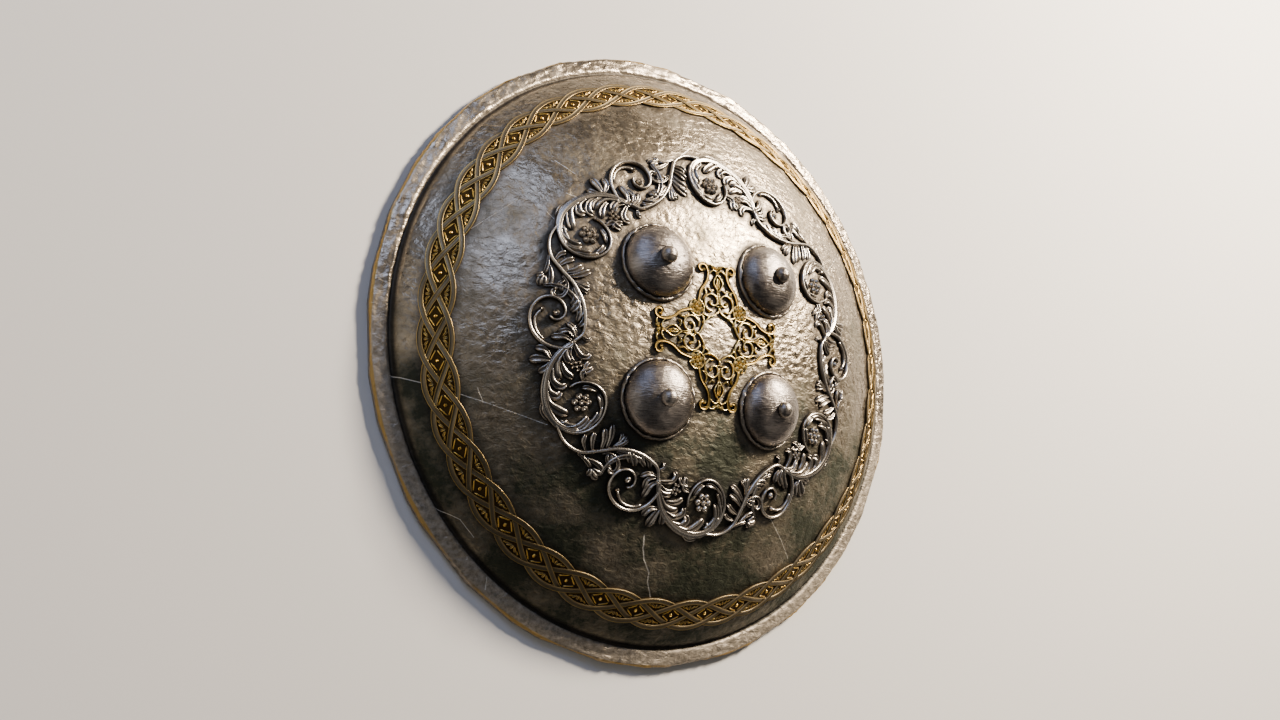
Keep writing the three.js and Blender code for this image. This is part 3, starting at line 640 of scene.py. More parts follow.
@dataclass(frozen=True)
class BrushedSteel:
    """Raised steel caps brushed by hand: dark, with short parallel brush lines and a soft wide highlight."""

    light: str = "#9f968d"
    dark: str = "#453e39"
    tint: str = "#3e3944"
    # The edge colour is a painted highlight on the flange's ridge, and the groove colour painted shade in the
    # groove at the dome's foot
    edge: str = "#8f867a"
    groove: str = "#0f0d0c"
    roughness: float = 0.2
    blotch: float = 26.0
    # Brush lines are drawn coarser than the real 0.1 mm so that they show
    line: float = 0.8

    def material(self) -> bpy.types.Material:
        """Builds the material."""
        material, tree, shader, place = new_material("brushed_steel")
        lines = add_node(tree, "ShaderNodeMapping",
                         {"Rotation": (0, 0, math.radians(35)), "Scale": (0.12, 1, 0.3)},
                         {"Vector": place}).outputs[0]
        brush = add_node(tree, "ShaderNodeTexNoise",
                         {"Scale": 1000 / self.line, "Detail": 4, "Roughness": 0.6},
                         {"Vector": lines}).outputs[0]
        blotch = add_node(tree, "ShaderNodeTexNoise",
                          {"Scale": 1000 / self.blotch, "Detail": 7, "Roughness": 0.65},
                          {"Vector": place})
        rise = add_node(tree, "ShaderNodeAttribute", {"attribute_name": "rise"}).outputs["Fac"]
        share = add_node(tree, "ShaderNodeMath", {"operation": "MULTIPLY_ADD", 1: 0.6},
                         {0: brush, 2: blotch.outputs[0]})
        tone = add_node(tree, "ShaderNodeMapRange", {1: 0.56, 2: 1.06}, {0: share.outputs[0]}).outputs[0]
        colour = add_node(tree, "ShaderNodeMix",
                          {"data_type": "RGBA", 6: linear(self.dark), 7: linear(self.light)},
                          {0: tone}).outputs[2]
        cool = add_node(tree, "ShaderNodeMapRange", {1: 0.52, 2: 0.7, 4: 0.6},
                        {0: blotch.outputs["Color"]}).outputs[0]
        tinted = add_node(tree, "ShaderNodeMix", {"data_type": "RGBA", 7: linear(self.tint)},
                          {0: cool, 6: colour}).outputs[2]
        # Painted highlight on the flange's ridge and painted shade in the groove, both from the piece's rise
        # tone
        edged = add_node(tree, "ShaderNodeMix", {"data_type": "RGBA", 7: linear(self.edge)},
                         {0: rise, 6: tinted}).outputs[2]
        sunk = add_node(tree, "ShaderNodeMapRange", {1: 0.0, 2: -1.0}, {0: rise}).outputs[0]
        grooved = add_node(tree, "ShaderNodeMix", {"data_type": "RGBA", 7: linear(self.groove)},
                           {0: sunk, 6: edged}).outputs[2]
        tree.links.new(grooved, shader.inputs["Base Color"])
        shader.inputs["Metallic"].default_value = 0.95
        rough = add_node(tree, "ShaderNodeMapRange", {3: self.roughness, 4: self.roughness + 0.22},
                         {0: brush})
        tree.links.new(rough.outputs[0], shader.inputs["Roughness"])
        bump = add_node(tree, "ShaderNodeBump", {"Strength": 0.8, "Distance": 0.0004}, {"Height": brush})
        soft = add_node(tree, "ShaderNodeBump", {"Strength": 0.3, "Distance": 0.0008},
                        {"Height": blotch.outputs[0], "Normal": bump.outputs[0]})
        tree.links.new(soft.outputs[0], shader.inputs["Normal"])
        return material


@dataclass(frozen=True)
class StrapLeather:
    """Vegetable-tanned harness leather, oiled dark, with a fine pebbled grain and scuffed edges."""

    hide: str = "#4b2f1c"
    deep: str = "#2a1910"
    scuff: str = "#7a5736"
    pebble: float = 1.1
    blotch: float = 18.0

    def material(self) -> bpy.types.Material:
        """Builds the material."""
        material, tree, shader, place = new_material("strap_leather")
        pebbles = add_node(tree, "ShaderNodeTexVoronoi", {"Scale": 1000 / self.pebble, "feature": "F1"},
                           {"Vector": place})
        tone = add_node(tree, "ShaderNodeTexNoise", {"Scale": 1000 / self.blotch, "Detail": 6},
                        {"Vector": place}).outputs[0]
        share = add_node(tree, "ShaderNodeMapRange", {1: 0.35, 2: 0.65}, {0: tone}).outputs[0]
        colour = add_node(tree, "ShaderNodeMix",
                          {"data_type": "RGBA", 6: linear(self.deep), 7: linear(self.hide)},
                          {0: share}).outputs[2]
        edge = add_node(tree, "ShaderNodeAttribute", {"attribute_name": "edge"}).outputs["Fac"]
        scuffed = add_node(tree, "ShaderNodeMath", {"operation": "MULTIPLY"}, {0: edge, 1: tone}).outputs[0]
        worn = add_node(tree, "ShaderNodeMix", {"data_type": "RGBA", 7: linear(self.scuff)},
                        {0: scuffed, 6: colour}).outputs[2]
        tree.links.new(worn, shader.inputs["Base Color"])
        rough = add_node(tree, "ShaderNodeMapRange", {3: 0.5, 4: 0.72}, {0: tone}).outputs[0]
        tree.links.new(rough, shader.inputs["Roughness"])
        bump = add_node(tree, "ShaderNodeBump", {"Strength": 0.5, "Distance": 0.00025, "invert": True},
                        {"Height": pebbles.outputs["Distance"]})
        tree.links.new(bump.outputs[0], shader.inputs["Normal"])
        return material


# Recess colours are partly painted shade and ridge colours partly painted highlight
SILVERED = CarvedMetal("chased_dark_steel", "#b9b0a3", "#766d62", "#26211c", 0.22, 0.2)
GILT = CarvedMetal("worn_gilt_brass", "#ecd188", "#957a40", "#2a1e10", 0.22, 0.25)
BORDER_GILT = CarvedMetal("aged_gilt_band", "#e2b455", "#736750", "#45341a", 0.28, 0.3)


# Pieces


@dataclass
class Garland:
    """Ring of scrolls, flowers and acanthus leaves round the bosses: one drawn motif, six times.

    The motif is drawn with x along the ring from one knot to the next and y outwards.
    """

    repeats: int = 6
    radius: float = 117.0
    turn: float = 7.5
    height: float = 3.6
    drawn_length: float = 122.5
    flower: Point = (41.5, -3.8)
    eye: Point = (103.0, 3.0)

    def stems(self) -> list[Relief]:
        """The main scroll lines, as round rods."""
        stem = [(0, -8), (5, 0), (12.5, 7.8), (22, 13.6), (32, 17),
                *spiral(self.flower, 86, 30, 20.9, 17.6, 4)]
        volute = spiral(self.flower, 100, -200, 21.6, 12.8, 15)
        vine = [(46, 16), (58, 16.6), (67, 12.5), (74.5, 2.5), (81, -6.5), (91, -13.5), (106, -16.7),
                (117.5, -14.5), (122.5, -8)]
        scroll = [(120.5, -11), *spiral(self.eye, -20, 430, 24.3, 3.2, 20)]
        inner = [(120, 9.5), (115.5, 13.5), (107, 15), (101, 11)]
        lines = [(stem, (2.6, 4.0, 5.2, 5.0, 3.0), 0.95, Section.FLUTED),
                 (volute, (2.0, 2.3, 2.2, 2.0, 1.7), 0.9, Section.ROUND),
                 (vine, (1.8, 2.5, 3.0, 2.7, 2.8), 0.95, Section.ROUND),
                 (scroll, (2.4, 2.7, 2.4, 2.1, 1.6), 0.9, Section.ROUND),
                 (inner, (1.5, 2.1, 1.9), 0.7, Section.ROUND)]
        rods = [carve(smooth_line(points, 1.1), widths, self.height * rise, section)
                for points, widths, rise, section in lines]
        # Long leaves lie along the inner edge of the volute, and one along the scroll's
        inside = [(self.flower, 78, 26, 17.6, 14.8), (self.flower, 22, -34, 16.2, 13.2),
                  (self.flower, -40, -92, 14.2, 11.6), (self.flower, -98, -160, 12.2, 9.6),
                  (self.eye, 150, 290, 18.6, 15.2)]
        return rods + [carve(smooth_line(spiral(*where, 7), 1.1), (1.6, 3.6, 4.0, 3.0), self.height * 0.85,
                             Section.LEAF)
                       for where in inside]

    def leaves(self) -> list[Relief]:
        """The leaf lobes, each from root over back to tip, with its width and its share of the height."""
        lobes = [
            ([(20, 12), (29, 12.5), (32, 9), (29.6, 5.7)], 3.4, 0.8),
            ([(3.3, -3.4), (13.5, 4.8), (20.8, 4.8), (23.3, 3)], 3.6, 0.85),
            ([(11.6, 1.2), (20, -0.6), (24.7, -4.3)], 3, 0.7),
            ([(1, -5), (8.2, -2.5), (12.3, -3.5), (14.3, -5.5)], 2.8, 0.7),
            ([(14, 7), (23, 8.6), (27.5, 4.6), (26.6, 1)], 3, 0.8),
            ([(25.5, 13.9), (33.9, 15.3), (40.4, 11.2), (45, 6.6)], 3.8, 0.9),
            ([(46, 14.8), (48.6, 12), (48.2, 8.4)], 2.6, 0.7),
            ([(50.4, 13), (53.7, 6.6), (53.3, -0.6), (51.4, -3.8)], 3.2, 0.85),
            ([(56.2, 10.3), (58, 1.2), (55.1, -7)], 2.8, 0.8),
            ([(58.6, -2), (56.6, -10.5), (50.6, -16.2)], 2.8, 0.8),
            ([(10, 6.5), (3, 10.4), (1.4, 15.7)], 3, 0.75),
            ([(10, 6.5), (8.4, 13.5), (7.5, 20.3)], 3.6, 0.85),
            ([(10, 6.5), (14, 10.6), (15.8, 16.2)], 3, 0.75), ([(8, 7.6), (4, 9), (2.0, 11.6)], 2, 0.6),
            ([(0, -8.5), (6, -10.2), (10.8, -12.5), (12, -16.1), (9, -18.4)], 2.8, 0.75),
            ([(28.5, -9), (22, -11), (22, -14.3), (20.4, -18.4)], 3, 0.75),
            ([(26, -13), (18.6, -13.4), (15.4, -16.6)], 2.2, 0.6),
            ([(67, 13.8), (73, 12.2), (79.5, 12.5)], 1.8, 0.55),
            ([(79, 13), (81, 15), (81.2, 17.6)], 2.8, 0.65),
            ([(80, 12.6), (84, 14.6), (87.6, 14)], 2.8, 0.65),
            ([(72.7, 11.2), (81, 8), (86.6, 8.2)], 2.4, 0.6),
            ([(80, 12), (84, 11.6), (87.2, 10.4)], 2.4, 0.6),
            ([(77.4, 2.1), (81, -2), (86.6, -2.9), (91.3, -0.6), (92.1, 3.9), (89.9, 5.7), (87, 3.9)],
             2, 0.7),
            ([(80, -1), (83.4, 2.4), (86, 2.2)], 1.8, 0.6),
            ([(82, -2.4), (85.8, 0.4), (88.4, 0.2)], 1.8, 0.6),
            ([(82.9, -6.1), (92.1, -9.7), (96.8, -7)], 3, 0.75),
            ([(85.8, -10.6), (96, -11), (101.5, -7.4)], 3, 0.8),
            ([(93.1, -13.4), (100.5, -14.3), (105.2, -11.5)], 3, 0.8),
            ([(100, -16), (108, -15.6), (112, -12.4)], 2.6, 0.7),
            ([(123, -8.8), (118.8, -3.4), (118, 5.7)], 3, 0.75),
            ([(120, -10), (114.4, -5.4), (115.6, 1)], 2.6, 0.7),
            ([(121, -11), (112, -8.6), (108.6, -4.6)], 2.4, 0.65),
            ([(75, 1), (70.5, -5.5), (65, -9.3)], 3.2, 0.8),
            ([(77, -2), (72.5, -9.5), (66.4, -15)], 3.2, 0.8),
            ([(72.6, 6), (66.6, 1.6), (63, -2.6)], 2.6, 0.7), ([(69.6, 9), (63.6, 6.6), (61, 3)], 2.2, 0.6),
            ([(79, -5.6), (79.8, -11.6), (76.6, -17)], 2.2, 0.6),
            ([(79, -5.6), (80.8, -12), (80.4, -18)], 2.6, 0.7),
            ([(79, -5.6), (82.4, -11.6), (84.4, -17.4)], 2.2, 0.6),
            ([(2, -7.4), (9, -5.2), (14.4, -7)], 1.5, 0.6), ([(30, 16), (36, 20.6), (43, 19.4)], 2, 0.6),
            ([(118, -14), (121.6, -18), (119.6, -20.6)], 2, 0.6),
        ]
        return [carve(smooth_line(points, 0.9), np.array([0.6, 1.15, 1.6, 1.5]) * width,
                      self.height * (rise * 0.6 + 0.4), Section.LEAF)
                for points, width, rise in lobes]

    def beads(self) -> list[Relief]:
        """The flower's petals and middle, the berries, and the balls at the ends of the scrolls."""
        x, y = self.flower
        ring = [(x + 4.5 * math.cos(k * math.pi / 3), y + 4.5 * math.sin(k * math.pi / 3)) for k in range(6)]
        petals = [bead(px, py, 2.5, self.height * 0.78) for px, py in ring]
        berries = [bead(17.2 + 2.7 * i, -8.2 + 2.7 * j, 1.4, self.height * 0.6)
                   for i in (-1, 0, 1) for j in (-1, 0, 1) if abs(i) + abs(j) < 2 or i < 0]
        ends = [((102.7, 1.8), 2.5), ((101.2, 11), 1.6), ((0, -8), 2.4), ((87.2, 4), 1.4)]
        balls = [bead(*place, radius, self.height * 0.85) for place, radius in ends]
        return [*petals, bead(x, y, 2.3, self.height), *berries, *balls]

    def relief(self) -> Relief:
        """The whole ring, on the plan of the shield."""
        motif = Relief.joined([*self.stems(), *self.leaves(), *self.beads()])
        return motif.ringed(self.repeats, self.drawn_length, self.radius, self.turn)

    def build(self) -> bpy.types.Object:
        """Makes and dresses the garland."""
        piece = relief_piece("scroll_garland", self.relief())
        piece.data.materials.append(SILVERED.material())
        return piece


@dataclass
class PlaitedBorder:
    """Gilt band round the dome: four plaited strands, lozenges between them and small sprays at the sides.

    A strand's middle swings as a cosine over four cells, and over and under take turns at its crossings.
    """

    cells: int = 41
    radius: float = 188.1
    turn: float = 0.1
    swing: float = 8.65
    strand_width: float = 2.9
    strand_height: float = 1.15

    @property
    def cell(self) -> float:
        """Length of one cell along the ring."""
        return math.tau * self.radius / self.cells

    def strand(self) -> Relief:
        """The strands as one band, four times round: y = swing * cos(quarter turn * cells travelled)."""
        steps = 16
        travel = np.arange(4 * self.cells * steps) / steps
        y = self.swing * np.cos(travel * math.pi / 2)
        steep = -self.swing * math.pi / 2 * np.sin(travel * math.pi / 2) / self.cell
        length = np.hypot(1, steep)
        across, rise, tone = Section.BAND.profile()
        left = np.stack([-steep / length, 1 / length], axis=-1)
        half = self.strand_width / 2
        middle = np.stack([travel * self.cell, y], axis=-1)[:, None]
        plan = middle + left[:, None] * half * across[None, :, None]
        over = np.interp(travel % 4, [0, 0.5, 1, 1.5, 2, 2.5, 3, 3.5, 4], [0, 1, -1, 1, 0, -1, 1, -1, 0])
        tall = 0.35 + self.strand_height * rise[None] + 0.28 * over[:, None] * (rise[None] > 0)
        tall[:, [0, -1]] = -SINK
        points = np.concatenate([plan, tall[..., None], np.broadcast_to(tone[:, None], tall.shape + (1,))],
                                axis=-1)
        return Relief(points.reshape(-1, 4), grid_quads(*tall.shape, close_rows=True, close_columns=True))

    def ground(self) -> Relief:
        """The sheet under the strands, whose edges follow the outermost strand with its scallops."""
        steps = 12
        travel = np.arange(self.cells * steps) / steps
        reach = self.swing * np.maximum(abs(np.cos(travel * math.pi / 2)), abs(np.sin(travel * math.pi / 2)))
        share = np.array([1, 1, 0.6, 0.2, -0.2, -0.6, -1, -1.0])
        tall = np.array([-SINK, 0.5, 0.5, 0.5, 0.5, 0.5, 0.5, -SINK])
        plan = np.stack(np.broadcast_arrays(travel[:, None] * self.cell, reach[:, None] * share), axis=-1)
        rest = np.broadcast_to(np.stack([tall, tall * 0], axis=-1)[None], plan.shape)
        points = np.concatenate([plan, rest], axis=-1)
        return Relief(points.reshape(-1, 4), grid_quads(*plan.shape[:2], close_rows=True, close_columns=True))

    def fillings(self) -> Relief:
        """What fills one cell: the lozenge's frame and stud, and a three-lobed spray on either side."""
        middle, long, tall, lift = self.cell / 2, 7.4, 4.0, 0.45
        corners = [(-long, 0), (0, tall), (long, 0), (0, -tall), (-long, 0)]
        bars = [carve(smooth_line([(middle + a[0], a[1]), (middle + b[0], b[1])], 1.6), (0.95, 0.95), 0.85,
                      Section.ROUND, lift) for a, b in zip(corners, corners[1:])]
        stud = bead(middle, 0, 1.25, 1.15, lift)
        lobes = [((0, 3.4), (0, 6.7), 1.9), ((0.8, 3.8), (4.4, 6.3), 1.6), ((-0.8, 3.8), (-4.4, 6.3), 1.6),
                 ((3.4, 4.8), (7.2, 6.2), 1.1), ((-3.4, 4.8), (-7.2, 6.2), 1.1)]
        spray = Relief.joined([carve(smooth_line([a, b], 0.9), (w * 0.5, w, w * 0.9), 0.95,
                                     Section.LEAF, lift) for a, b, w in lobes])
        return Relief.joined([*bars, stud, spray, spray.turned(180)])

    def build(self) -> bpy.types.Object:
        """Makes and dresses the border."""
        whole = self.cells * self.cell
        parts = [self.strand().ringed(1, whole, self.radius, self.turn),
                 self.ground().ringed(1, whole, self.radius, self.turn),
                 self.fillings().ringed(self.cells, self.cell, self.radius, self.turn)]
        piece = relief_piece("gilt_border", Relief.joined(parts))
        piece.data.materials.append(BORDER_GILT.material())
        return piece


@dataclass
class OpenworkCross:
    """Gilt openwork between the bosses: half an arm is drawn along y, mirrored, and turned four times."""

    height: float = 2.0
    wire: float = 1.1

    def half_arm(self) -> Relief:
        """The wires, leaves and beads on one side of an arm's middle line."""
        swan = [(17, 22), (14.5, 31), (9.5, 38), (7.8, 45), *spiral((12.5, 47.3), 190, -120, 4.5, 1.6, 12)]
        lyre = spiral((5.2, 24), -75, 360, 8.4, 2.2, 18)
        wires = [
            (swan, self.wire * 1.7, Section.BAND), (lyre, self.wire * 1.25, Section.ROUND),
            ([(0, 31), (3.8, 37.5), (0, 44.5)], self.wire, Section.ROUND),
            ([(0, 17.5), (4, 14.5), (8.5, 12.9), (14, 14.6)], self.wire * 1.3, Section.ROUND),
            ([(0, 20.7), (2.6, 20.7)], self.wire, Section.ROUND),
            ([(0, 22.6), (2.2, 22.6)], self.wire, Section.ROUND),
            ([(2.4, 49.4), (5.4, 50.4), (8.4, 49.4)], self.wire, Section.ROUND),
            ([(0.2, 45), (2.6, 46.6), (5.4, 45.4), (7.8, 43)], self.wire, Section.ROUND),
            ([(13.4, 24.4), (10.4, 29.4), (11.4, 33.4)], self.wire * 1.3, Section.LEAF),
            ([(3.2, 33), (6.6, 31.4), (8.4, 34)], self.wire * 1.3, Section.LEAF),
            ([(0, 33), (0.9, 37.4), (0, 41.6)], self.wire * 1.2, Section.LEAF),
            ([(4.4, 17.4), (8.4, 17.2), (11.4, 20.6)], self.wire, Section.ROUND),
            ([(8.5, 12.9), (11, 10.2), (12.9, 8.5)], self.wire * 1.2, Section.ROUND),
        ]
        strokes = [carve(smooth_line(points, 0.8), (width, width), self.height, section)
                   for points, width, section in wires]
        beads = [bead(3.1, 49.2, 1.7, self.height), bead(11.2, 46.4, 1.5, self.height),
                 bead(6.9, 23.4, 1.5, self.height), bead(8.5, 12.9, 1.5, self.height * 0.9)]
        return Relief.joined([*strokes, *beads])

    def middle_line(self) -> Relief:
        """What stands on an arm's middle line, and the rosette between it and the next arm."""
        bars = [carve(smooth_line([(0, 20.6), (0, 16.6)], 0.8), (self.wire * 1.6,) * 2, self.height,
                      Section.ROUND),
                carve(smooth_line([(0, 22), (0, 31.4)], 0.8), (1.2, 2.6, 1.2), self.height, Section.LEAF)]
        beads = [bead(0, 44.8, 1.5, self.height), bead(0, 48.4, 1.8, self.height),
                 bead(0, 31.4, 1.4, self.height)]
        x = y = 18.3
        angles = [k * math.pi / 3 + 0.26 for k in range(6)]
        petals = [bead(x + 3.7 * math.cos(a), y + 3.7 * math.sin(a), 1.95, self.height * 0.85)
                  for a in angles]
        rim = [(x + 5.9 * math.cos(a), y + 5.9 * math.sin(a)) for a in np.linspace(0, math.tau, 15)]
        ring = carve(smooth_line(rim, 1.0), (0.9, 0.9), self.height * 0.7, Section.ROUND)
        return Relief.joined([*bars, *beads, *petals, bead(x, y, 1.8, self.height * 1.1), ring])

    def relief(self) -> Relief:
        """The whole cross, on the plan of the shield."""
        half = self.half_arm()
        arm = Relief.joined([half, half.mirrored(), self.middle_line()])
        return Relief.joined([arm.turned(quarter * 90.0) for quarter in range(4)])

    def build(self) -> bpy.types.Object:
        """Makes and dresses the cross."""
        piece = relief_piece("openwork_cross", self.relief())
        piece.data.materials.append(GILT.material())
        return piece


@dataclass
class Boss:
    """A hollow domed boss and its rivet, both turned about an axis that stands on the plate."""

    number: int
    ring_radius: float = 66.2
    flange_radius: float = 28.1
    flange_width: float = 2.6
    flange_height: float = 2.4
    groove: float = 1.0
    dome_height: float = 14.6
    wall: float = 1.5
    knob_radius: float = 6.0
    shank_radius: float = 2.5
    tail_radius: float = 6.5
    tail_height: float = 2.0
    tail_top: float = -6.9
    segments: int = 96

    @property
    def angle(self) -> float:
        """Angle of the boss round the shield, in radians."""
        return math.radians(45 + 90 * (self.number - 1))

    @property
    def centre(self) -> Array:
        """Place of the boss on the plan."""
        return self.ring_radius * np.array([math.cos(self.angle), math.sin(self.angle)])

    def stand(self, local: Array) -> Array:
        """Puts points of the boss's own drawing on the plate, its Z along the dome's normal."""
        up = DOME.normal(self.centre)
        side = np.array([-math.sin(self.angle), math.cos(self.angle), 0.0])
        out = np.cross(side, up)
        return DOME.place(self.centre, np.array(0.0)) + local @ np.stack([out, side, up])

    def seat(self) -> float:
        """Height at which the flange clears the face all round its edge, in the boss's own drawing."""
        around = np.linspace(0, math.tau, 64)
        ring = np.stack([np.cos(around), np.sin(around), 0 * around], axis=-1)
        edge = self.stand(ring * self.flange_radius)
        drop = DOME.place(edge[:, :2], np.zeros(64)) - DOME.place(self.centre, np.array(0.0))
        return float((drop @ DOME.normal(self.centre)).max()) + GAP

    def dome(self, radius: Array, wall: float = 0.0) -> Array:
        """Height of the boss's dome: a quarter ellipse, sqrt(1 - share^2) of its height above the collar."""
        share = radius / (self.flange_radius - self.flange_width - wall)
        collar = self.seat() + self.flange_height - self.groove
        return collar + (self.dome_height - wall) * np.sqrt(np.clip(1 - share**2, 0, 1))

    def turned(self, profile: Array, rough: Array | float = 0.0, seed: int = 0) -> Array:
        """Points of a profile of [radius, height] rows turned round the axis.

        Args:
            profile: the profile, two columns.
            rough: how far each row may be knocked about, by a smooth random field.
            seed: start of the random draw.

        Returns:
            Points on the shield, one ring after another.
        """
        around = np.arange(self.segments) * math.tau / self.segments
        ring = np.stack([np.cos(around), np.sin(around)], axis=-1)
        plan = profile[:, None, :1] * ring
        knock = np.asarray(rough)[..., None] * ripple(plan, 6.0, seed + self.number)
        reach = plan * (1 - 0.6 * abs(knock)[..., None] / np.maximum(profile[:, None, :1], 1))
        height = profile[:, 1:] + knock * 0.6
        return self.stand(np.concatenate([reach, height[..., None]], axis=-1).reshape(-1, 3))

    def cap(self) -> bpy.types.Object:
        """The boss: dome, groove and hammered flange outside, a plain wall inside; the groove is coloured
        dark as painted shade and the flange's ridge light as painted highlight.
        """
        outer = self.flange_radius - self.flange_width
        seat = self.seat()
        angle = np.linspace(0.11, math.pi / 2, 30)
        outside = np.stack([outer * np.sin(angle), self.dome(outer * np.sin(angle))], axis=-1)
        flange = np.array([[outer + 0.1, seat + 1.3], [outer + 0.45, seat + 1.3], [outer + 0.75, seat + 2.0],
                           [outer + 1.2, seat + 2.4], [outer + 1.8, seat + 2.35], [outer + 2.3, seat + 1.8],
                           [outer + 2.6, seat + 0.8], [outer + 2.5, seat], [outer - self.wall, seat]])
        back = np.linspace(math.pi / 2 - 0.12, 0.12, 10)
        inner = outer - self.wall
        inside = np.stack([inner * np.sin(back), self.dome(inner * np.sin(back), self.wall)], axis=-1)
        profile = np.concatenate([outside, flange, inside])
        rough = np.concatenate([np.full(len(angle), 0.07), [0, 0, 0.4, 0.75, 0.8, 0.6, 0.3, 0, 0],
                                np.zeros(len(back))])
        points = self.turned(profile, rough, 40)
        # Tone for the finish: 1 paints a highlight on the flange's ridge, -1 paints shade in the groove at
        # the dome's foot
        edge = np.concatenate([np.zeros(len(angle) - 1), [-0.6, -1, -1, 0.4, 1, 1, 1, 0.6, 0, 0],
                               np.zeros(len(back))])
        quads = grid_quads(len(profile), self.segments, close_rows=True, close_columns=True)[:, ::-1]
        return make_piece(f"boss_{self.number}_cap", points, [quads], f"boss_{self.number}",
                          {"rise": np.repeat(edge, self.segments)})

    def rivet(self) -> bpy.types.Object:
        """The rivet: a round knob on the boss, a shank through the plate, and a peened tail on the strap."""
        seat = float(self.dome(np.array(self.knob_radius))) + GAP
        angle = np.linspace(0.06, math.pi / 2, 14)
        knob = np.stack([self.knob_radius * np.sin(angle), seat + 0.8 + 5.1 * np.cos(angle)], axis=-1)
        low = float(self.dome(np.array(self.shank_radius))) + 0.2
        shank = np.array([[self.knob_radius * 0.97, seat], [self.knob_radius * 0.8, seat],
                          [self.shank_radius, low], [self.shank_radius, self.tail_top],
                          [self.tail_radius, self.tail_top]])
        back = np.linspace(math.pi / 2 - 0.2, 0.06, 8)
        tail = np.stack([self.tail_radius * np.sin(back), self.tail_top - self.tail_height * np.cos(back)],
                        axis=-1)
        profile = np.concatenate([knob, shank, tail])
        rough = np.concatenate([np.full(len(knob), 0.06), np.zeros(len(shank)), np.full(len(tail), 0.3)])
        points = self.turned(profile, rough, 60)
        loop = np.arange(self.segments)
        quads = grid_quads(len(profile), self.segments, close_columns=True)[:, ::-1]
        lids = [lid_quads(loop), lid_quads(loop[::-1] + (len(profile) - 1) * self.segments)]
        # The knob is coloured lighter towards its top, as a painted highlight
        tones = [np.linspace(0.35, 0.1, len(knob)), np.zeros(len(shank) + len(tail))]
        rise = np.repeat(np.concatenate(tones), self.segments)
        return make_piece(f"rivet_{self.number}_knob", points, [quads, *lids], f"rivet_{self.number}",
                          {"rise": rise})

    def build(self, finish: bpy.types.Material) -> list[bpy.types.Object]:
        """Makes and dresses the boss and its rivet."""
        pieces = [self.cap(), self.rivet()]
        for piece in pieces:
            piece.data.materials.append(finish)
        return pieces


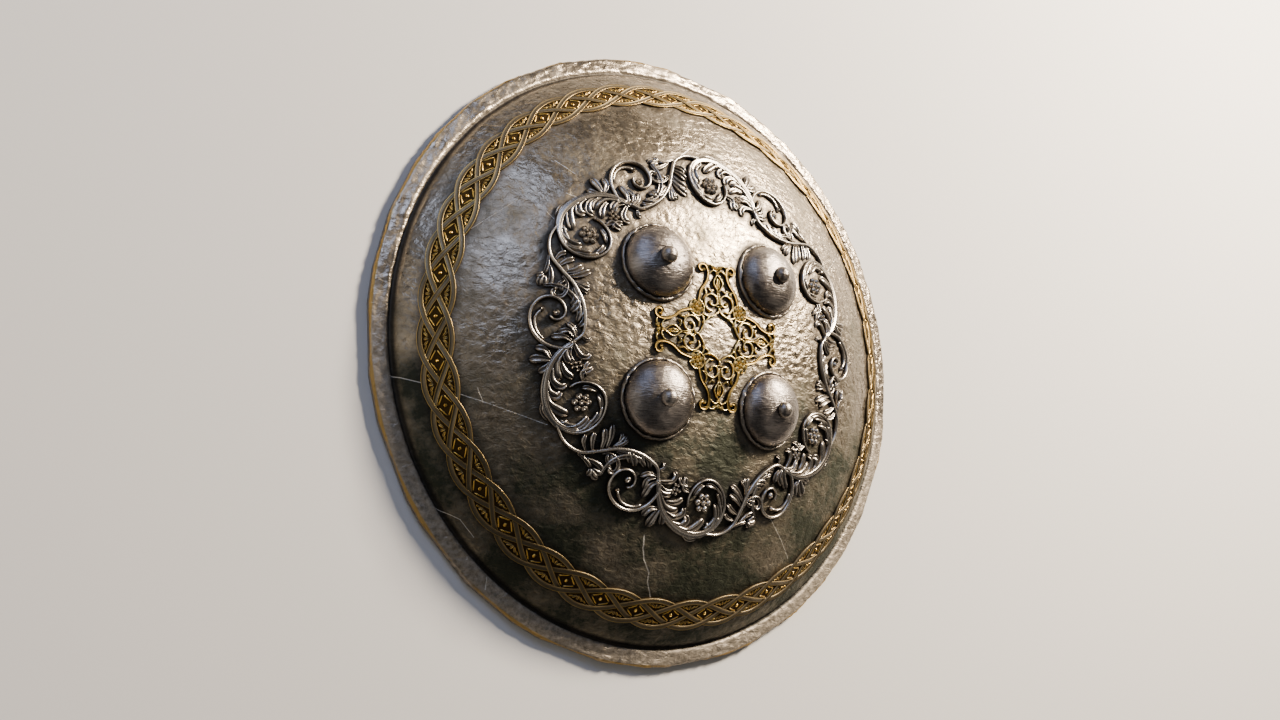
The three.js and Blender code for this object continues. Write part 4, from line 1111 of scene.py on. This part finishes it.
@dataclass
class Plate:
    """The shield's body: a hammered dome, a groove, and a flat rim band with a gently broken outline."""

    segments: int = 480
    wall: float = 1.8
    rim_radius: float = 225.0
    groove_radius: float = 211.2
    boss_edge: float = 28.3
    # Rows of the profile under the dome, and rows that do not show from the front
    back_rows: int = 34
    hidden_rows: int = 48
    garland: Garland = field(default_factory=Garland)
    cross: OpenworkCross = field(default_factory=OpenworkCross)
    border: PlaitedBorder = field(default_factory=PlaitedBorder)

    def profile(self) -> tuple[Array, Array]:
        """The plate's section from its crown over the rim and back under the dome.

        Returns:
            Rows of [radius, height], and for each row how strongly the hammer marks show.
        """
        face = np.linspace(1.6, DOME.foot_radius - 1.2, 118)
        over = np.stack([face, DOME.height(face)], axis=-1)
        keys = [(208.6, 12.1), (210, 9.6), (211.4, 7.6), (212.4, 7.5), (213.2, 8.4), (214.6, 8.7), (218, 8.0),
                (221.5, 7.2), (223.6, 6.6), (224.7, 5.8), (225, 4.6), (225, 2.4), (224.8, 0.5), (224.2, 0.0),
                (221.4, 0.0), (219.4, 0.2), (219, 1.2), (218.4, 4.2), (216, 5.6), (213, 6.1), (211, 5.9)]
        rim = smooth_line(keys, 1.15)
        back = np.linspace(DOME.foot_radius - 0.6, 1.6, self.back_rows)
        lean = DOME.slope(back)
        length = np.hypot(1, lean)
        under = np.stack([back - self.wall * lean / length, DOME.height(back) - self.wall / length], axis=-1)
        strength = np.concatenate([np.ones(len(face)), np.interp(rim[:, 1], [0, 1, 6, 9], [0, 0.1, 0.8, 1]),
                                   np.full(len(back), 0.8)])
        return np.concatenate([over, rim, under[1:]]), strength[:-1]

    def hammered(self, plan: Array) -> Array:
        """Depth of the hammer marks: broad dents, round blows and slanting wrinkles added together."""
        blows = abs(ripple(plan, 17.0, 12))
        wrinkles = ripple(plan, 6.5, 13, stretch=1.4, heading=38)
        creases = abs(ripple(plan, 9.0, 14, stretch=1.2, heading=38))
        return 0.13 * ripple(plan, 46.0, 11) + 0.13 * blows + 0.07 * wrinkles + 0.11 * creases - 0.2

    def soot_and_shade(self, plan: Array) -> Array:
        """Dark colour close to the raised work, part dirt and part painted shade: it fades with the distance
        from the nearest of it.
        """
        radius = np.linalg.norm(plan, axis=-1)
        tone = np.zeros(len(plan))
        for relief, low, high, reach in ((self.garland.relief(), 88, 147, 4.0),
                                         (self.cross.relief(), 0, 56, 1.4)):
            feet = relief.points[::5, :2]
            band = np.flatnonzero((radius > low) & (radius < high))
            for part in np.array_split(band, max(len(band) // 1500, 1)):
                gap = np.sqrt(((plan[part, None] - feet[None]) ** 2).sum(-1).min(1))
                tone[part] = np.maximum(tone[part], 0.85 * np.exp(-gap / reach))
        for number in range(1, 5):
            gap = abs(np.linalg.norm(plan - Boss(number).centre, axis=-1) - self.boss_edge)
            tone = np.maximum(tone, 0.9 * np.exp(-gap / 2.2))
        border = np.maximum(abs(radius - self.border.radius) - 9.6, 0)
        tone = np.maximum(tone, 0.55 * np.exp(-border / 2.2))
        # The groove under the rim gets the darkest painted shade
        groove = np.exp(-((radius - self.groove_radius) / 1.7) ** 2)
        return np.clip(np.maximum(tone, groove * 1.3), 0, 1.3)

    def build(self) -> bpy.types.Object:
        """Makes and dresses the plate."""
        profile, strength = self.profile()
        around = np.arange(self.segments) * math.tau / self.segments
        ring = np.stack([np.cos(around), np.sin(around)], axis=-1)
        # The outline is made of short straight runs of uneven length
        draw = np.random.default_rng(5)
        corners = np.sort((np.arange(38) + draw.uniform(-0.3, 0.3, 38)) * math.tau / 38)
        spot = np.searchsorted(corners, around) % len(corners)
        width = (corners[spot] - corners[spot - 1]) % math.tau
        off = (corners[spot] - around) % math.tau - width / 2
        outline = np.cos(width / 2) / np.cos(off)
        outward = np.clip((profile[:, :1] - 212) / 13, 0, 1)
        radius = profile[:, :1] * (1 + outward * (outline[None] - 1))
        plan = radius[..., None] * ring
        slope = np.gradient(profile, axis=0)
        slope /= np.maximum(np.linalg.norm(slope, axis=1, keepdims=True), 1e-9)
        normal = np.stack([-slope[:, 1], slope[:, 0]], axis=-1)
        normal[len(profile) + 1 - self.back_rows:] *= -1
        # The rim band carries finer marks of its own
        band = np.clip((profile[:, :1] - 212.5) / 3, 0, 1)
        depth = self.hammered(plan) + band * 0.22 * (ripple(plan, 7.0, 21) - 1)
        depth = depth * strength[:, None]
        reach = plan + (normal[:, None, :1] * depth[..., None]) * ring
        height = np.maximum(profile[:, 1:] + normal[:, 1:] * depth, 0)
        over = np.linalg.norm(reach, axis=-1, keepdims=True)
        reach = reach * np.minimum(1, self.rim_radius / over)
        points = np.concatenate([reach, height[..., None]], axis=-1).reshape(-1, 3)
        loop = np.arange(self.segments)
        last = (len(profile) - 1) * self.segments
        quads = grid_quads(len(profile), self.segments, close_columns=True)[:, ::-1]
        lids = [lid_quads(loop), lid_quads(loop[::-1] + last)]
        tone = self.soot_and_shade(points[:, :2])
        front = np.ones(len(tone))
        front[len(tone) - self.hidden_rows * self.segments:] = 0
        tone[len(tone) - self.back_rows * self.segments:] = 0.25
        piece = make_piece("plate_hammered", points, [quads, *lids], "plate",
                           {"soot_and_shade": tone, "front": front})
        piece.data.materials.append(AgedSteel().material())
        return piece


@dataclass
class GripStrap:
    """A leather band between the two rivets on one side, hanging into the bowl for the fingers."""

    side: int
    width: float = 24.0
    thickness: float = 3.0
    end: float = 13.0
    drop: float = 34.0
    top: float = -3.6

    def build(self, finish: bpy.types.Material) -> bpy.types.Object:
        """Sweeps a flat section with creased borders and rounded edges along the strap's line."""
        corner = Boss.ring_radius * math.sqrt(0.5)
        centre = DOME.place(np.array([self.side * corner, corner]), np.array(0.0))
        normal = DOME.normal(np.array([self.side * corner, corner]))
        lean, tilt = math.atan2(normal[0], normal[2]), math.asin(normal[1])
        middle = self.top - self.thickness / 2

        def along(distance: float, depth: float) -> Point:
            """Point of the line, from its distance past the rivet and its depth under the bowl."""
            return (centre[1] + middle * math.sin(tilt) + distance * math.cos(tilt) - depth * math.sin(tilt),
                    middle * math.cos(tilt) - distance * math.sin(tilt) - depth * math.cos(tilt))

        hang = [(0.64, 0.2), (0.48, 0.58), (0.26, 0.88)]
        half = [along(self.end, 0), along(0, 0), along(-self.end * 0.85, 0.3),
                *[(centre[1] * share, middle - self.drop * depth) for share, depth in hang]]
        whole = [*half, (0.0, middle - self.drop), *[(-y, z) for y, z in reversed(half)]]
        line = smooth_line(whole, 1.2)
        ahead = np.gradient(line, axis=0)
        ahead /= np.linalg.norm(ahead, axis=1, keepdims=True)
        up = np.stack([-ahead[:, 1], ahead[:, 0]], axis=-1) * -1
        across = np.array([0.5, 0.485, 0.44, 0.4, 0.385, 0.37, 0.2, -0.2, -0.37, -0.385, -0.4, -0.44, -0.485,
                           -0.5])
        thick = np.array([0, 0.34, 0.48, 0.47, 0.38, 0.47, 0.5, 0.5, 0.47, 0.38, 0.47, 0.48, 0.34, 0])
        across = np.concatenate([across, across[-2:0:-1]])
        thick = np.concatenate([thick, -thick[-2:0:-1]])
        travel = np.arange(len(line))
        ends = np.sqrt(np.clip(1 - (1 - np.clip(np.minimum(travel, travel[::-1]) / 4, 0, 1)) ** 2, 0.3, 1))
        rows = np.stack(np.broadcast_arrays(
            across[None] * self.width * ends[:, None],
            line[:, :1] + up[:, :1] * thick[None] * self.thickness,
            line[:, 1:] + up[:, 1:] * thick[None] * self.thickness), axis=-1)
        turn = np.array([[math.cos(lean), 0, -math.sin(lean)], [0, 1, 0],
                         [math.sin(lean), 0, math.cos(lean)]])
        points = rows.reshape(-1, 3) @ turn + np.array([centre[0], 0, centre[2]])
        columns = len(across)
        first = np.arange(columns)
        quads = grid_quads(len(line), columns, close_columns=True)
        lids = [lid_quads(first[::-1]), lid_quads(first + (len(line) - 1) * columns)]
        name = "grip_strap_right" if self.side > 0 else "grip_strap_left"
        edge = np.tile((abs(across) > 0.42).astype(float), len(line))
        piece = make_piece(f"{name}_leather", points, [quads, *lids], name, {"edge": edge})
        piece.data.materials.append(finish)
        return piece


# Studio


@dataclass
class Studio:
    """Pale floor, soft lights, and the camera at the photo's angle."""

    lens: float = 34.99
    eye: tuple[float, float, float] = (-0.50123, -0.17781, 0.75081)
    right: tuple[float, float, float] = (0.83862, 0.00353, 0.54471)
    up: tuple[float, float, float] = (-0.10582, 0.98198, 0.15656)
    back: tuple[float, float, float] = (-0.53434, -0.18894, 0.82388)

    def camera(self) -> None:
        """The camera, its axes as columns of its matrix."""
        data = bpy.data.cameras.new("camera")
        data.lens = self.lens
        data.sensor_width = 36.0
        data.clip_start = 0.01
        camera = bpy.data.objects.new("camera", data)
        bpy.context.scene.collection.objects.link(camera)
        turn = Matrix((self.right, self.up, self.back)).transposed().to_4x4()
        camera.matrix_world = Matrix.Translation(Vector(self.eye)) @ turn
        bpy.context.scene.camera = camera

    def light(self, name: str, toward: tuple[float, float, float], distance: float, size: float, power: float,
              colour: str) -> None:
        """One square soft light.

        Args:
            name: its name.
            toward: direction from the shield to the light.
            distance: how far away it stands, in metres.
            size: length of its side, in metres.
            power: its power in watts.
            colour: its colour.
        """
        data = bpy.data.lights.new(name, "AREA")
        data.shape = "SQUARE"
        data.size = size
        data.energy = power
        data.color = linear(colour)[:3]
        lamp = bpy.data.objects.new(name, data)
        bpy.context.scene.collection.objects.link(lamp)
        direction = Vector(toward).normalized()
        lamp.location = direction * distance
        lamp.rotation_euler = direction.to_track_quat("Z", "Y").to_euler()

    def floor(self) -> None:
        """A plain pale floor."""
        mesh = bpy.data.meshes.new("floor")
        mesh.from_pydata([(-6, -6, 0), (6, -6, 0), (6, 6, 0), (-6, 6, 0)], [], [(0, 1, 2, 3)])
        floor = bpy.data.objects.new("floor", mesh)
        bpy.context.scene.collection.objects.link(floor)
        material, _, shader, _ = new_material("pale_floor")
        shader.inputs["Base Color"].default_value = linear("#c9c6c1")
        shader.inputs["Roughness"].default_value = 0.8
        mesh.materials.append(material)

    def build(self) -> None:
        """Sets up the whole studio."""
        self.camera()
        self.floor()
        self.light("key", (0.63, 0.54, 0.54), 1.7, 0.34, 138.0, "#fff0dc")
        self.light("cool_fill", (-0.4, 0.62, 0.66), 2.0, 0.9, 13.0, "#b4cbff")
        self.light("low_fill", (0.4, -0.5, 0.75), 2.2, 1.2, 2.5, "#fff6ea")
        self.light("left_fill", (-0.86, 0.02, 0.5), 2.0, 1.3, 6.0, "#f6f2ec")
        world = bpy.data.worlds.new("studio")
        world.use_nodes = True
        world.node_tree.nodes["Background"].inputs["Color"].default_value = linear("#b9bcc2")
        world.node_tree.nodes["Background"].inputs["Strength"].default_value = 0.13
        bpy.context.scene.world = world


def main() -> None:
    """Builds the shield and its studio in order."""
    logging.basicConfig(level=logging.INFO, format="%(name)s: %(message)s")
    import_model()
    Studio().build()
    Plate().build()
    PlaitedBorder().build()
    Garland().build()
    OpenworkCross().build()
    brushed = BrushedSteel().material()
    for number in range(1, 5):
        Boss(number).build(brushed)
    leather = StrapLeather().material()
    for side in (1, -1):
        GripStrap(side).build(leather)


if __name__ == "__main__":
    main()
